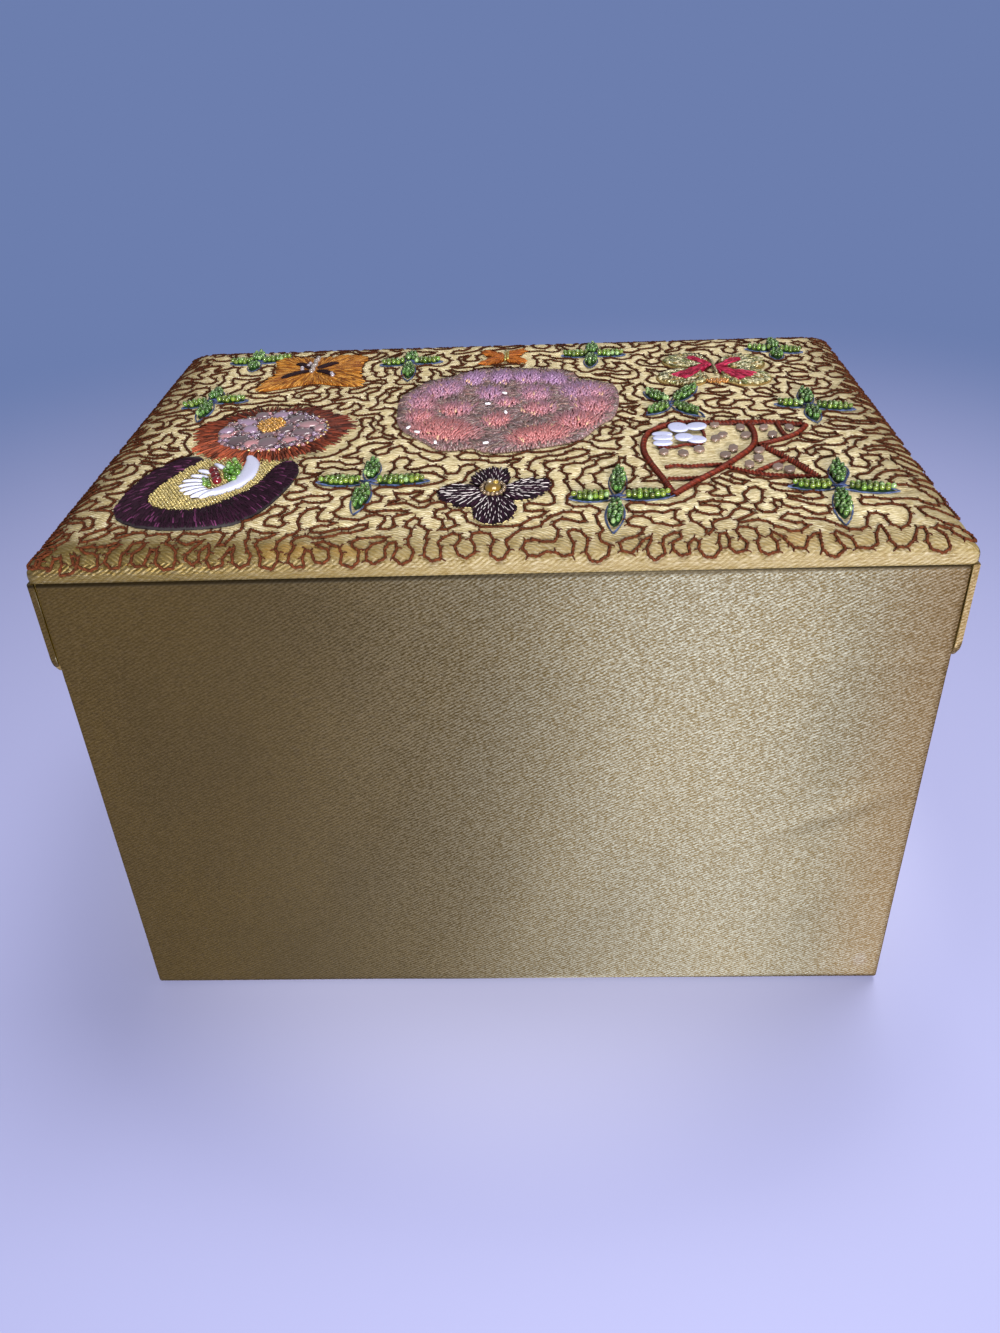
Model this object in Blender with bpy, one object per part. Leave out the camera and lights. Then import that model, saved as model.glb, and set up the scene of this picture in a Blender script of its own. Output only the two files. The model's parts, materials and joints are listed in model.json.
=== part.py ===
"""A satin-covered jewelry box with a padded lid, beadwork motifs and a sliding till.

Metres, +Z up. The origin is on the table under the middle of the closed box. The front, with
the ribbon tab, faces -Y. The lid is hinged by cloth along the top of the rear wall, at +Y.
Right and left are +X and -X, as seen from the front.
"""
import math

import bmesh
import bpy
from mathutils import Vector

# Body: its size over the satin, and the height of its wall boards above the table
BODY_WIDTH = 0.2760
BODY_DEPTH = 0.1975
WALL_TOP = 0.1785

# Thickness of each layer
WALL_BOARD = 0.0030
BASE_BOARD = 0.0030
BASE_SHEET = 0.0010
LID_BOARD = 0.0025
SATIN = 0.0006
HINGE_CLOTH = 0.0006
LINING = 0.0020
SKIRT = 0.0021

# Clearances: between pieces that are glued or rest on each other, and round the lid's skirt
GLUE_LINE = 0.0003
SKIRT_CLEARANCE = 0.0004

# Base sheet, set in from the satin all round
BASE_SHEET_INSET = 0.0030

# Lid: the skirt hangs below the hinge line, and the pad bulges above the lid board
SKIRT_HEIGHT = 0.0345
SKIRT_REAR_ROUND = 0.0080
LID_REAR_ROUND = 0.0030
PAD_RISE = 0.0053
PAD_ROUND = 0.0130
PAD_CROWN = 0.0017

# Cloth hinge: inside the satin at the rear wall, and inside the box under the lid
HINGE_STRIP_DROP = 0.0340
HINGE_END_GAP = 0.0040
INNER_HINGE_DROP = 0.0180
INNER_HINGE_REACH = 0.0190

# Lining of the lid, with its mirror
LID_LINING_CLEARANCE = 0.0010
MIRROR_WIDTH = 0.1900
MIRROR_DEPTH = 0.1100
MIRROR_GLASS = 0.0020
MIRROR_ROUND = 0.0040
BRAID_WIDTH = 0.0040
BRAID_HEIGHT = 0.0025

# Ribbon stays: where they are sewn to the body and to the lid, measured from the hinge line
STAY_WIDTH = 0.0060
STAY_THICKNESS = 0.0005
STAY_BODY_REACH = 0.0900
STAY_LID_REACH = 0.1000
STAY_FOLD_REACH = 0.0560
STAY_BODY_DROP = 0.0140

# Ribbon tab under the front skirt
TAB_WIDTH = 0.0160
TAB_LENGTH = 0.0140
TAB_THICKNESS = 0.0010

# Ledges that carry the till
LEDGE_HEIGHT = 0.0050
LEDGE_WIDTH = 0.0080

# Sliding till: its rim lies a little below the top of the walls
TILL_RIM_DROP = 0.0202
TILL_WIDTH = 0.1250
TILL_HEIGHT = 0.0410
TILL_BOARD = 0.0030
TILL_FLOOR = 0.0020
TILL_SIDE_CLEARANCE = 0.0005
TILL_END_CLEARANCE = 0.0006
DIVIDER = 0.0020
DIVIDER_DROP = 0.0040
ROLL_COUNT = 4
ROLL_WIDTH = 0.0125
ROLL_HEIGHT = 0.0220
TILL_TAB_WIDTH = 0.0120
TILL_TAB_HEIGHT = 0.0090

# Beadwork: how far each kind stands above the satin
PEONY_HEIGHT = 0.0028
ROSETTE_HEIGHT = 0.0024
CRESCENT_HEIGHT = 0.0018
WING_HEIGHT = 0.0016
FISH_HEIGHT = 0.0014
BUTTERFLY_HEIGHT = 0.0020
PANSY_HEIGHT = 0.0018
SPRIG_HEIGHT = 0.0018

# Beadwork: how far each motif reaches from its middle
PEONY_REACH_X = 0.0400
PEONY_REACH_Y = 0.0430
ROSETTE_REACH_X = 0.0290
ROSETTE_REACH_Y = 0.0262
CRESCENT_REACH_X = 0.0235
CRESCENT_REACH_Y = 0.0240
CRESCENT_BAND = 0.0074
CRESCENT_START = -62.0
CRESCENT_END = 222.0
WING_REACH_X = 0.0150
WING_REACH_Y = 0.0155
FISH_REACH = 0.0360
ORANGE_BUTTERFLY_REACH = 0.0235
BEADED_BUTTERFLY_REACH_X = 0.0285
BEADED_BUTTERFLY_REACH_Y = 0.0260
SMALL_FLOWER_REACH = 0.0092
PANSY_REACH_X = 0.0168
PANSY_REACH_Y = 0.0182
LEAF_LENGTH = 0.0200
LEAF_WIDTH = 0.0050

# Outlines of the fish and of the satin-stitch butterfly, as shares of their reach
FISH_OUTLINE = (
    (0.61, 0.28), (0.62, -0.22), (0.53, -0.56), (0.14, -0.72), (-1.00, -0.61), (-0.67, -0.22),
    (-0.51, -0.08), (-0.83, 0.60), (-0.31, 0.53), (-0.06, 0.37), (0.46, 0.92),
)
ORANGE_BUTTERFLY_OUTLINE = (
    (0.17, -0.64), (0.72, -0.79), (0.87, -0.68), (0.55, 0.00), (0.87, 1.00),
    (-0.13, 0.68), (-1.00, 0.91), (-0.70, 0.00), (-0.87, -0.66), (-0.55, -0.83),
)

# Places on the lid, as shares of its half width and half depth from its middle
PEONY_PLACE = (-0.018, -0.120)
ROSETTE_PLACE = (0.584, 0.080)
CRESCENT_PLACE = (0.673, 0.540)
FISH_PLACE = (-0.512, 0.340)
ORANGE_BUTTERFLY_PLACE = (0.566, -0.615)
BEADED_BUTTERFLY_PLACE = (-0.592, -0.500)
SMALL_FLOWER_PLACE = (0.000, -0.730)
PANSY_PLACE = (0.009, 0.625)
# Sprigs: place, turn in degrees, and the leaves that point right, rear, left and front, each as a
# share of the leaf length
SPRIGS = {
    "sprig_front_right": (0.762, -0.800, 20.0, (0.55, 0.65, 0.50, 0.55)),
    "sprig_front_mid_right": (0.288, -0.680, 0.0, (0.58, 1.00, 0.62, 0.62)),
    "sprig_front_mid_left": (-0.262, -0.748, 0.0, (0.60, 0.85, 0.62, 0.65)),
    "sprig_front_left": (-0.805, -0.780, 0.0, (0.55, 0.80, 0.52, 0.45)),
    "sprig_right": (0.804, -0.283, 0.0, (0.60, 0.95, 0.62, 0.65)),
    "sprig_mid_left": (-0.440, -0.110, 45.0, (0.70, 0.70, 0.70, 0.70)),
    "sprig_left": (-0.804, -0.080, 0.0, (0.55, 0.75, 0.55, 0.70)),
    "sprig_rear_mid_right": (0.299, 0.529, 0.0, (0.85, 1.10, 0.95, 0.88)),
    "sprig_rear_mid_left": (-0.265, 0.683, 0.0, (0.75, 1.10, 0.80, 1.10)),
    "sprig_rear_left": (-0.762, 0.629, 0.0, (0.72, 1.25, 0.85, 0.90)),
}

# How finely round forms are drawn
CORNER_STEPS = 3
PAD_STEPS = 4
CROWN_STEPS = 3
PETAL_STEPS = 5
ROUND_STEPS = 28
UNDERSIDE_SHARES = (0.55, 0.8, 1.0)

# Plan of the closed box
HALF_WIDTH = BODY_WIDTH / 2
LID_HALF_WIDTH = HALF_WIDTH + SKIRT_CLEARANCE + SKIRT
LID_HALF_DEPTH = (BODY_DEPTH + SKIRT_CLEARANCE + SKIRT) / 2
REAR = LID_HALF_DEPTH
FRONT = REAR - BODY_DEPTH

# Faces of the wall boards and linings, from the outside in
WALL_X = HALF_WIDTH - SATIN - GLUE_LINE
WALL_FRONT = FRONT + SATIN + GLUE_LINE
WALL_REAR = REAR - SATIN - GLUE_LINE - HINGE_CLOTH - GLUE_LINE
INSIDE_X = WALL_X - WALL_BOARD - GLUE_LINE
INSIDE_FRONT = WALL_FRONT + WALL_BOARD + GLUE_LINE
INSIDE_REAR = WALL_REAR - WALL_BOARD - GLUE_LINE
ROOM_X = INSIDE_X - LINING
ROOM_FRONT = INSIDE_FRONT + LINING
ROOM_REAR = INSIDE_REAR - LINING

# Corner radii that keep each layer parallel to the next
BODY_CORNER = WALL_BOARD + GLUE_LINE + SATIN
LID_CORNER = BODY_CORNER + SKIRT_CLEARANCE + SKIRT

# Heights
BASE_BOARD_BOTTOM = BASE_SHEET + GLUE_LINE
WALL_BOTTOM = BASE_BOARD_BOTTOM + BASE_BOARD + GLUE_LINE
FLOOR_TOP = WALL_BOTTOM + LINING
LID_BOTTOM = WALL_TOP + GLUE_LINE
HINGE_LEVEL = (WALL_TOP + LID_BOTTOM) / 2
LID_TOP = LID_BOTTOM + LID_BOARD
SKIRT_BOTTOM = HINGE_LEVEL - SKIRT_HEIGHT
LID_LINING_BOTTOM = WALL_TOP - LINING
LEDGE_TOP = WALL_TOP - TILL_RIM_DROP - TILL_HEIGHT - GLUE_LINE


def surface(name, colour, roughness, metallic=0.0):
    """A plain material for one kind of stuff."""
    material = bpy.data.materials.new(name)
    material.use_nodes = True
    shader = material.node_tree.nodes["Principled BSDF"]
    shader.inputs["Base Color"].default_value = (*colour, 1.0)
    shader.inputs["Roughness"].default_value = roughness
    shader.inputs["Metallic"].default_value = metallic
    material.diffuse_color = (*colour, 1.0)
    return material


def carrier(name, place):
    """An empty that carries the pieces of one body."""
    empty = bpy.data.objects.new(name, None)
    bpy.context.scene.collection.objects.link(empty)
    empty.location = place
    return empty


def add_piece(name, bm, material, body):
    """Close up a drawn mesh as a named piece, with its origin at its middle."""
    bmesh.ops.recalc_face_normals(bm, faces=bm.faces)
    lows = [min(vert.co[axis] for vert in bm.verts) for axis in range(3)]
    highs = [max(vert.co[axis] for vert in bm.verts) for axis in range(3)]
    middle = (Vector(lows) + Vector(highs)) / 2
    bmesh.ops.translate(bm, verts=bm.verts, vec=-middle)
    mesh = bpy.data.meshes.new(name)
    bm.to_mesh(mesh)
    bm.free()
    mesh.materials.append(material)
    piece = bpy.data.objects.new(name, mesh)
    bpy.context.scene.collection.objects.link(piece)
    piece.parent = body
    piece.location = middle - body.location
    return piece


def block(name, x_span, y_span, z_span, material, body):
    """A square-edged board or strip between two faces along each axis."""
    bm = bmesh.new()
    bmesh.ops.create_cube(bm, size=1.0)
    low = Vector((x_span[0], y_span[0], z_span[0]))
    high = Vector((x_span[1], y_span[1], z_span[1]))
    bmesh.ops.scale(bm, vec=high - low, verts=bm.verts)
    bmesh.ops.translate(bm, vec=(low + high) / 2, verts=bm.verts)
    return add_piece(name, bm, material, body)


def join_rings(bm, first, second):
    """Faces between two closed rows of points."""
    count = len(first)
    for index in range(count):
        after = (index + 1) % count
        bm.faces.new((first[index], first[after], second[after], second[index]))


def prism(name, outline, travel, material, body):
    """A flat outline of points carried along a vector."""
    bm = bmesh.new()
    near = [bm.verts.new(point) for point in outline]
    far = [bm.verts.new(Vector(point) + Vector(travel)) for point in outline]
    bm.faces.new(near)
    bm.faces.new(far)
    join_rings(bm, near, far)
    return add_piece(name, bm, material, body)


def ring_prism(name, outer, inner, bottom, top, material, body):
    """A closed frame between two outlines in plan."""
    bm = bmesh.new()
    rows = []
    for outline, level in ((outer, bottom), (outer, top), (inner, top), (inner, bottom)):
        rows.append([bm.verts.new((x, y, level)) for x, y in outline])
    for index in range(4):
        join_rings(bm, rows[index], rows[(index + 1) % 4])
    return add_piece(name, bm, material, body)


def wrap_prism(name, outer, inner, bottom, top, material, body):
    """An open wrap, such as cloth round three sides, between two paths in plan."""
    outline = outer + inner[::-1]
    points = [(x, y, bottom) for x, y in outline]
    return prism(name, points, (0.0, 0.0, top - bottom), material, body)


def arc(centre, radius, start, end, steps=CORNER_STEPS):
    """Points along an arc in plan, from one angle in degrees to another."""
    points = []
    for step in range(steps + 1):
        angle = math.radians(start + (end - start) * step / steps)
        points.append((centre[0] + radius * math.cos(angle), centre[1] + radius * math.sin(angle)))
    return points


def divided(start, end, parts):
    """Points between two points, the ends left out."""
    points = []
    for part in range(1, parts):
        share = part / parts
        points.append((start[0] + (end[0] - start[0]) * share, start[1] + (end[1] - start[1]) * share))
    return points


def rounded_rectangle(half_x, half_y, front_radius, rear_radius, parts=(1, 1)):
    """A rectangle about the origin with round corners, its long and short sides divided."""
    corners = (
        (half_x - rear_radius, half_y - rear_radius, rear_radius, 0.0),
        (rear_radius - half_x, half_y - rear_radius, rear_radius, 90.0),
        (front_radius - half_x, front_radius - half_y, front_radius, 180.0),
        (half_x - front_radius, front_radius - half_y, front_radius, 270.0),
    )
    arcs = [arc((x, y), radius, start, start + 90.0) for x, y, radius, start in corners]
    outline = []
    for index, points in enumerate(arcs):
        following = arcs[(index + 1) % len(arcs)]
        outline += points
        outline += divided(points[-1], following[0], parts[index % 2])
    return outline


def wrap_path(half_x, front, rear, radius, end_x):
    """A path in plan from the rear right, round the right, front and left, to the rear left."""
    rear_y = rear - radius
    front_y = front + radius
    side_x = half_x - radius
    path = [(end_x, rear)]
    path += arc((side_x, rear_y), radius, 90.0, 0.0)
    path += arc((side_x, front_y), radius, 0.0, -90.0)
    path += arc((-side_x, front_y), radius, -90.0, -180.0)
    path += arc((-side_x, rear_y), radius, 180.0, 90.0)
    path.append((-end_x, rear))
    return path


def wall_outline(outer_y, inner_y):
    """A wall board in plan, its two outer corners rounded."""
    radius = abs(outer_y - inner_y)
    side_x = WALL_X - radius
    if outer_y < inner_y:
        outline = arc((-side_x, inner_y), radius, 180.0, 270.0)
        outline += arc((side_x, inner_y), radius, 270.0, 360.0)
    else:
        outline = arc((side_x, inner_y), radius, 0.0, 90.0)
        outline += arc((-side_x, inner_y), radius, 90.0, 180.0)
    return [(x, y, WALL_BOTTOM) for x, y in outline]


def pad_height(x, y):
    """Height of the lid's satin above the table at a point of its plan."""
    inset = min(LID_HALF_WIDTH - abs(x), LID_HALF_DEPTH - abs(y), PAD_ROUND)
    across = 1.0 - max(inset, 0.0) / PAD_ROUND
    return LID_TOP + PAD_RISE * math.sqrt(1.0 - across * across) + crown_height(x, y)


def crown_height(x, y):
    """Rise of the whole pad towards its middle."""
    return PAD_CROWN * (1.0 - (x / LID_HALF_WIDTH) ** 2) * (1.0 - (y / LID_HALF_DEPTH) ** 2)


def dome_rows(bm, depth_in):
    """Rows of points over the padded lid, a given depth inside its outer face."""
    rows = []
    for step in range(PAD_STEPS + 1):
        angle = math.radians(90.0 * step / PAD_STEPS)
        inset = PAD_ROUND * (1.0 - math.cos(angle)) + depth_in * math.cos(angle)
        rise = (PAD_RISE - depth_in) * math.sin(angle)
        outline = rounded_rectangle(
            LID_HALF_WIDTH - inset, LID_HALF_DEPTH - inset, LID_CORNER, LID_REAR_ROUND, (6, 4))
        rows.append([(x, y, LID_TOP + rise + crown_height(x, y)) for x, y in outline])
    crest = rows[-1]
    level = LID_TOP + PAD_RISE - depth_in
    for step in range(1, CROWN_STEPS):
        share = 1.0 - step / CROWN_STEPS
        inner = [(x * share, y * share) for x, y, _ in crest]
        rows.append([(x, y, level + crown_height(x, y)) for x, y in inner])
    return [[bm.verts.new(point) for point in row] for row in rows]


def close_dome(bm, rows, depth_in):
    """Faces over the rows of a dome, closed at its middle."""
    for lower, upper in zip(rows, rows[1:]):
        join_rings(bm, lower, upper)
    peak = bm.verts.new((0.0, 0.0, LID_TOP + PAD_RISE - depth_in + PAD_CROWN))
    fan(bm, rows[-1], peak)


def fan(bm, row, centre):
    """Triangles from a closed row of points to one point."""
    for index, vert in enumerate(row):
        bm.faces.new((vert, row[(index + 1) % len(row)], centre))


def skirt_side(name, x_low, body, material):
    """One side panel of the lid's skirt, with its lower rear corner rounded."""
    centre = (REAR - SKIRT_REAR_ROUND, SKIRT_BOTTOM + SKIRT_REAR_ROUND)
    front_end = FRONT - SKIRT_CLEARANCE - SKIRT + LID_CORNER + GLUE_LINE
    profile = [(front_end, SKIRT_BOTTOM)]
    profile += arc(centre, SKIRT_REAR_ROUND, -90.0, 0.0)
    profile += [(REAR, WALL_TOP), (front_end, WALL_TOP)]
    points = [(x_low, y, z) for y, z in profile]
    return prism(name, points, (SKIRT, 0.0, 0.0), material, body)


def stay_ribbon(name, x_low, body, material):
    """A ribbon stay folded flat under the closed lid, seen as a V from the side."""
    half = STAY_WIDTH / 2
    body_y = REAR - STAY_BODY_REACH
    lid_y = REAR - STAY_LID_REACH
    fold_y = REAR - STAY_FOLD_REACH
    body_z = HINGE_LEVEL - STAY_BODY_DROP
    lid_z = WALL_TOP - half
    fold_z = (body_z + lid_z) / 2
    notch_y = (body_y + fold_y) / 2
    profile = (
        (body_y, body_z - half),
        (fold_y, fold_z - half),
        (fold_y + half, fold_z),
        (fold_y, fold_z + half),
        (lid_y, lid_z + half),
        (lid_y, lid_z - half),
        (notch_y, fold_z),
        (body_y, body_z + half),
    )
    points = [(x_low, y, z) for y, z in profile]
    return prism(name, points, (STAY_THICKNESS, 0.0, 0.0), material, body)


def ring_roll(name, x_span, y_low, bottom, body, material):
    """One padded roll with a round top, for rings."""
    radius = ROLL_WIDTH / 2
    top = arc((y_low + radius, bottom + ROLL_HEIGHT - radius), radius, 0.0, 180.0, 6)
    profile = [(y_low, bottom), (y_low + ROLL_WIDTH, bottom)] + top
    points = [(x_span[0], y, z) for y, z in profile]
    return prism(name, points, (x_span[1] - x_span[0], 0.0, 0.0), material, body)


def lid_point(place):
    """A place on the lid in metres, from its shares of the half width and half depth."""
    return place[0] * LID_HALF_WIDTH, place[1] * LID_HALF_DEPTH


def relief(name, place, outline, profile, height, body, material):
    """Low beadwork on the lid, drawn round its middle and lying over the pad.

    The profile lists, from the rim inwards, a share of the outline and a share of the height;
    its last entry is the height at the middle.
    """
    centre_x, centre_y = lid_point(place)
    bm = bmesh.new()
    underside = [(share, 0.0) for share in UNDERSIDE_SHARES]
    rows = []
    for share, lift in underside + list(profile[:-1]):
        row = []
        for x, y in outline:
            point_x = centre_x + x * share
            point_y = centre_y + y * share
            level = pad_height(point_x, point_y) + GLUE_LINE + height * lift
            row.append(bm.verts.new((point_x, point_y, level)))
        rows.append(row)
    for lower, upper in zip(rows, rows[1:]):
        join_rings(bm, lower, upper)
    ground = pad_height(centre_x, centre_y) + GLUE_LINE
    fan(bm, rows[-1], bm.verts.new((centre_x, centre_y, ground + height * profile[-1][1])))
    fan(bm, rows[0], bm.verts.new((centre_x, centre_y, ground)))
    return add_piece(name, bm, material, body)


def petals(count, half_x, half_y, notch, turn=0.0, steps=PETAL_STEPS):
    """An outline of round petals on an oval: notch is how far the petals part, as a share."""
    outline = []
    total = count * steps
    for index in range(total):
        angle = math.tau * index / total
        swell = 1.0 - notch * (1.0 - abs(math.cos(count * angle / 2)))
        direction = angle + math.radians(turn)
        outline.append((half_x * swell * math.cos(direction), half_y * swell * math.sin(direction)))
    return outline


def scaled(outline, reach):
    """An outline given in shares, at its real size."""
    return [(x * reach, y * reach) for x, y in outline]


def leaf_cross(turn, lengths):
    """An outline of four pointed leaves about their common stem."""
    outline = []
    waist = LEAF_WIDTH * 0.28
    for quarter, length in enumerate(lengths):
        heading = math.radians(turn + 90.0 * quarter)
        along = Vector((math.cos(heading), math.sin(heading)))
        across = Vector((-along.y, along.x))
        for reach, side in ((0.5, -0.5), (1.0, 0.0), (0.5, 0.5)):
            point = along * LEAF_LENGTH * length * reach + across * LEAF_WIDTH * side
            outline.append((point.x, point.y))
        corner = (along + across) * waist
        outline.append((corner.x, corner.y))
    return outline


def crescent(name, body, material):
    """A U-shaped band of beads, open towards the rosette."""
    centre_x, centre_y = lid_point(CRESCENT_PLACE)
    sections = ((1.0, 0.0), (1.0, 0.7), (0.5, 1.0), (0.0, 0.7), (0.0, 0.0))
    bm = bmesh.new()
    rows = []
    for step in range(ROUND_STEPS + 1):
        angle = math.radians(CRESCENT_START + (CRESCENT_END - CRESCENT_START) * step / ROUND_STEPS)
        row = []
        for out, lift in sections:
            narrow = CRESCENT_BAND * (1.0 - out)
            x = centre_x + (CRESCENT_REACH_X - narrow) * math.cos(angle)
            y = centre_y + (CRESCENT_REACH_Y - narrow) * math.sin(angle)
            row.append(bm.verts.new((x, y, pad_height(x, y) + GLUE_LINE + CRESCENT_HEIGHT * lift)))
        rows.append(row)
    for row, following in zip(rows, rows[1:]):
        join_rings(bm, row, following)
    bm.faces.new(rows[0])
    bm.faces.new(rows[-1])
    return add_piece(name, bm, material, body)


def build_walls(body, board, satin, cloth):
    """Boards of the body, and the satin and felt on their outside."""
    block("base_sheet", (BASE_SHEET_INSET - HALF_WIDTH, HALF_WIDTH - BASE_SHEET_INSET),
          (FRONT + BASE_SHEET_INSET, REAR - BASE_SHEET_INSET), (0.0, BASE_SHEET), cloth, body)
    block("base_board", (-WALL_X + WALL_BOARD, WALL_X - WALL_BOARD), (WALL_FRONT, WALL_REAR),
          (BASE_BOARD_BOTTOM, BASE_BOARD_BOTTOM + BASE_BOARD), board, body)
    upright = (0.0, 0.0, WALL_TOP - WALL_BOTTOM)
    prism("front_wall", wall_outline(WALL_FRONT, WALL_FRONT + WALL_BOARD), upright, board, body)
    prism("rear_wall", wall_outline(WALL_REAR, WALL_REAR - WALL_BOARD), upright, board, body)
    side_y = (INSIDE_FRONT, INSIDE_REAR)
    side_z = (WALL_BOTTOM, WALL_TOP)
    block("left_wall", (-WALL_X, -WALL_X + WALL_BOARD), side_y, side_z, board, body)
    block("right_wall", (WALL_X - WALL_BOARD, WALL_X), side_y, side_z, board, body)
    end_x = HALF_WIDTH - BODY_CORNER
    outer = wrap_path(HALF_WIDTH, FRONT, REAR, BODY_CORNER, end_x)
    inner = wrap_path(HALF_WIDTH - SATIN, FRONT + SATIN, REAR - SATIN, BODY_CORNER - SATIN, end_x)
    wrap_prism("body_cover", outer, inner, BASE_BOARD_BOTTOM, WALL_TOP, satin, body)
    block("rear_cover", (GLUE_LINE - end_x, end_x - GLUE_LINE), (REAR - SATIN, REAR),
          (BASE_BOARD_BOTTOM, WALL_TOP), satin, body)


def build_hinge_cloth(body, cloth):
    """The cloth strips that the lid hinges on, outside and inside the rear wall."""
    half = HALF_WIDTH - HINGE_END_GAP - BODY_CORNER
    outer_y = REAR - SATIN - GLUE_LINE
    block("hinge_cloth", (-half, half), (outer_y - HINGE_CLOTH, outer_y),
          (HINGE_LEVEL - HINGE_STRIP_DROP, LID_TOP), cloth, body)
    inner_half = ROOM_X - HINGE_END_GAP
    low = WALL_TOP - INNER_HINGE_DROP
    profile = (
        (INSIDE_REAR, low),
        (INSIDE_REAR, WALL_TOP),
        (INSIDE_REAR - INNER_HINGE_REACH, WALL_TOP),
        (INSIDE_REAR - INNER_HINGE_REACH, WALL_TOP - HINGE_CLOTH),
        (INSIDE_REAR - HINGE_CLOTH, WALL_TOP - HINGE_CLOTH),
        (INSIDE_REAR - HINGE_CLOTH, low),
    )
    points = [(-inner_half, y, z) for y, z in profile]
    prism("hinge_lining", points, (2 * inner_half, 0.0, 0.0), cloth, body)


def build_linings(body, velvet, board):
    """Padded lining panels on the floor and walls, and the ledges that carry the till."""
    block("lining_floor", (-INSIDE_X, INSIDE_X), (INSIDE_FRONT, INSIDE_REAR), (WALL_BOTTOM, FLOOR_TOP),
          velvet, body)
    low = FLOOR_TOP + GLUE_LINE
    top = LID_LINING_BOTTOM - GLUE_LINE
    block("lining_front", (-INSIDE_X, INSIDE_X), (INSIDE_FRONT, ROOM_FRONT), (low, top), velvet, body)
    rear_top = WALL_TOP - INNER_HINGE_DROP - GLUE_LINE
    block("lining_rear", (-INSIDE_X, INSIDE_X), (ROOM_REAR, INSIDE_REAR), (low, rear_top), velvet, body)
    side_y = (ROOM_FRONT + GLUE_LINE, ROOM_REAR - GLUE_LINE)
    block("lining_left", (-INSIDE_X, -ROOM_X), side_y, (low, top), velvet, body)
    block("lining_right", (ROOM_X, INSIDE_X), side_y, (low, top), velvet, body)
    ledge_x = (GLUE_LINE - ROOM_X, ROOM_X - GLUE_LINE)
    ledge_z = (LEDGE_TOP - LEDGE_HEIGHT, LEDGE_TOP)
    front_face = ROOM_FRONT + GLUE_LINE
    rear_face = ROOM_REAR - GLUE_LINE
    block("tray_ledge_front", ledge_x, (front_face, front_face + LEDGE_WIDTH), ledge_z, board, body)
    block("tray_ledge_rear", ledge_x, (rear_face - LEDGE_WIDTH, rear_face), ledge_z, board, body)


def build_stays(body, ribbon):
    """The two ribbons that stop the lid when it is open."""
    face = ROOM_X - GLUE_LINE
    stay_ribbon("stay_ribbon_right", face - STAY_THICKNESS, body, ribbon)
    stay_ribbon("stay_ribbon_left", -face, body, ribbon)


def build_lid_shell(body, board, satin, foam):
    """The lid board, its foam pad and satin, and the skirt round three sides."""
    edge = SATIN + GLUE_LINE
    outline = rounded_rectangle(
        LID_HALF_WIDTH - edge, LID_HALF_DEPTH - edge, LID_CORNER - edge, LID_REAR_ROUND - edge)
    shift = HINGE_CLOTH + GLUE_LINE
    points = [(x, min(y, LID_HALF_DEPTH - edge - shift), LID_BOTTOM) for x, y in outline]
    prism("lid_board", points, (0.0, 0.0, LID_BOARD), board, body)

    bm = bmesh.new()
    rows = dome_rows(bm, edge)
    for vert in rows[0]:
        vert.co.z = LID_TOP + GLUE_LINE
    close_dome(bm, rows, edge)
    bm.faces.new(rows[0])
    add_piece("lid_padding", bm, foam, body)

    bm = bmesh.new()
    outer = dome_rows(bm, 0.0)
    close_dome(bm, outer, 0.0)
    inner = dome_rows(bm, SATIN)
    close_dome(bm, inner, SATIN)
    outer_foot = [bm.verts.new((vert.co.x, vert.co.y, LID_BOTTOM)) for vert in outer[0]]
    inner_foot = [bm.verts.new((vert.co.x, vert.co.y, LID_BOTTOM)) for vert in inner[0]]
    join_rings(bm, outer_foot, outer[0])
    join_rings(bm, inner_foot, inner[0])
    join_rings(bm, outer_foot, inner_foot)
    add_piece("lid_cover", bm, satin, body)

    skirt_side("skirt_right", LID_HALF_WIDTH - SKIRT, body, satin)
    skirt_side("skirt_left", -LID_HALF_WIDTH, body, satin)
    front_y = -LID_HALF_DEPTH
    side_x = LID_HALF_WIDTH - LID_CORNER
    corner_y = front_y + LID_CORNER
    paths = []
    for radius in (LID_CORNER, LID_CORNER - SKIRT):
        left_turn = arc((-side_x, corner_y), radius, 180.0, 270.0)
        right_turn = arc((side_x, corner_y), radius, 270.0, 360.0)
        paths.append(left_turn + right_turn)
    wrap_prism("skirt_front", *paths, SKIRT_BOTTOM, WALL_TOP, satin, body)


def build_lid_lining(body, velvet, glass, braid, ribbon):
    """What shows on the open lid: its lining, mirror and braid, and the tab that lifts it."""
    side_x = ROOM_X - GLUE_LINE - STAY_THICKNESS - SKIRT_CLEARANCE
    rear_end = INSIDE_REAR - INNER_HINGE_REACH - GLUE_LINE
    front_end = ROOM_FRONT + LID_LINING_CLEARANCE
    block("lid_lining", (-side_x, side_x), (front_end, rear_end), (LID_LINING_BOTTOM, WALL_TOP),
          velvet, body)
    middle_y = (front_end + rear_end) / 2
    top = LID_LINING_BOTTOM - GLUE_LINE

    def frame_outline(spread):
        outline = rounded_rectangle(
            MIRROR_WIDTH / 2 + spread, MIRROR_DEPTH / 2 + spread, MIRROR_ROUND + spread, MIRROR_ROUND + spread)
        return [(x, y + middle_y) for x, y in outline]

    glass_points = [(x, y, top - MIRROR_GLASS) for x, y in frame_outline(0.0)]
    prism("mirror", glass_points, (0.0, 0.0, MIRROR_GLASS), glass, body)
    ring_prism("mirror_braid", frame_outline(GLUE_LINE + BRAID_WIDTH), frame_outline(GLUE_LINE),
               top - BRAID_HEIGHT, top, braid, body)
    tab_y = SKIRT / 2 - LID_HALF_DEPTH
    tab_top = SKIRT_BOTTOM - GLUE_LINE
    block("pull_tab", (-TAB_WIDTH / 2, TAB_WIDTH / 2), (tab_y - TAB_THICKNESS / 2, tab_y + TAB_THICKNESS / 2),
          (tab_top - TAB_LENGTH, tab_top), ribbon, body)


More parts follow.
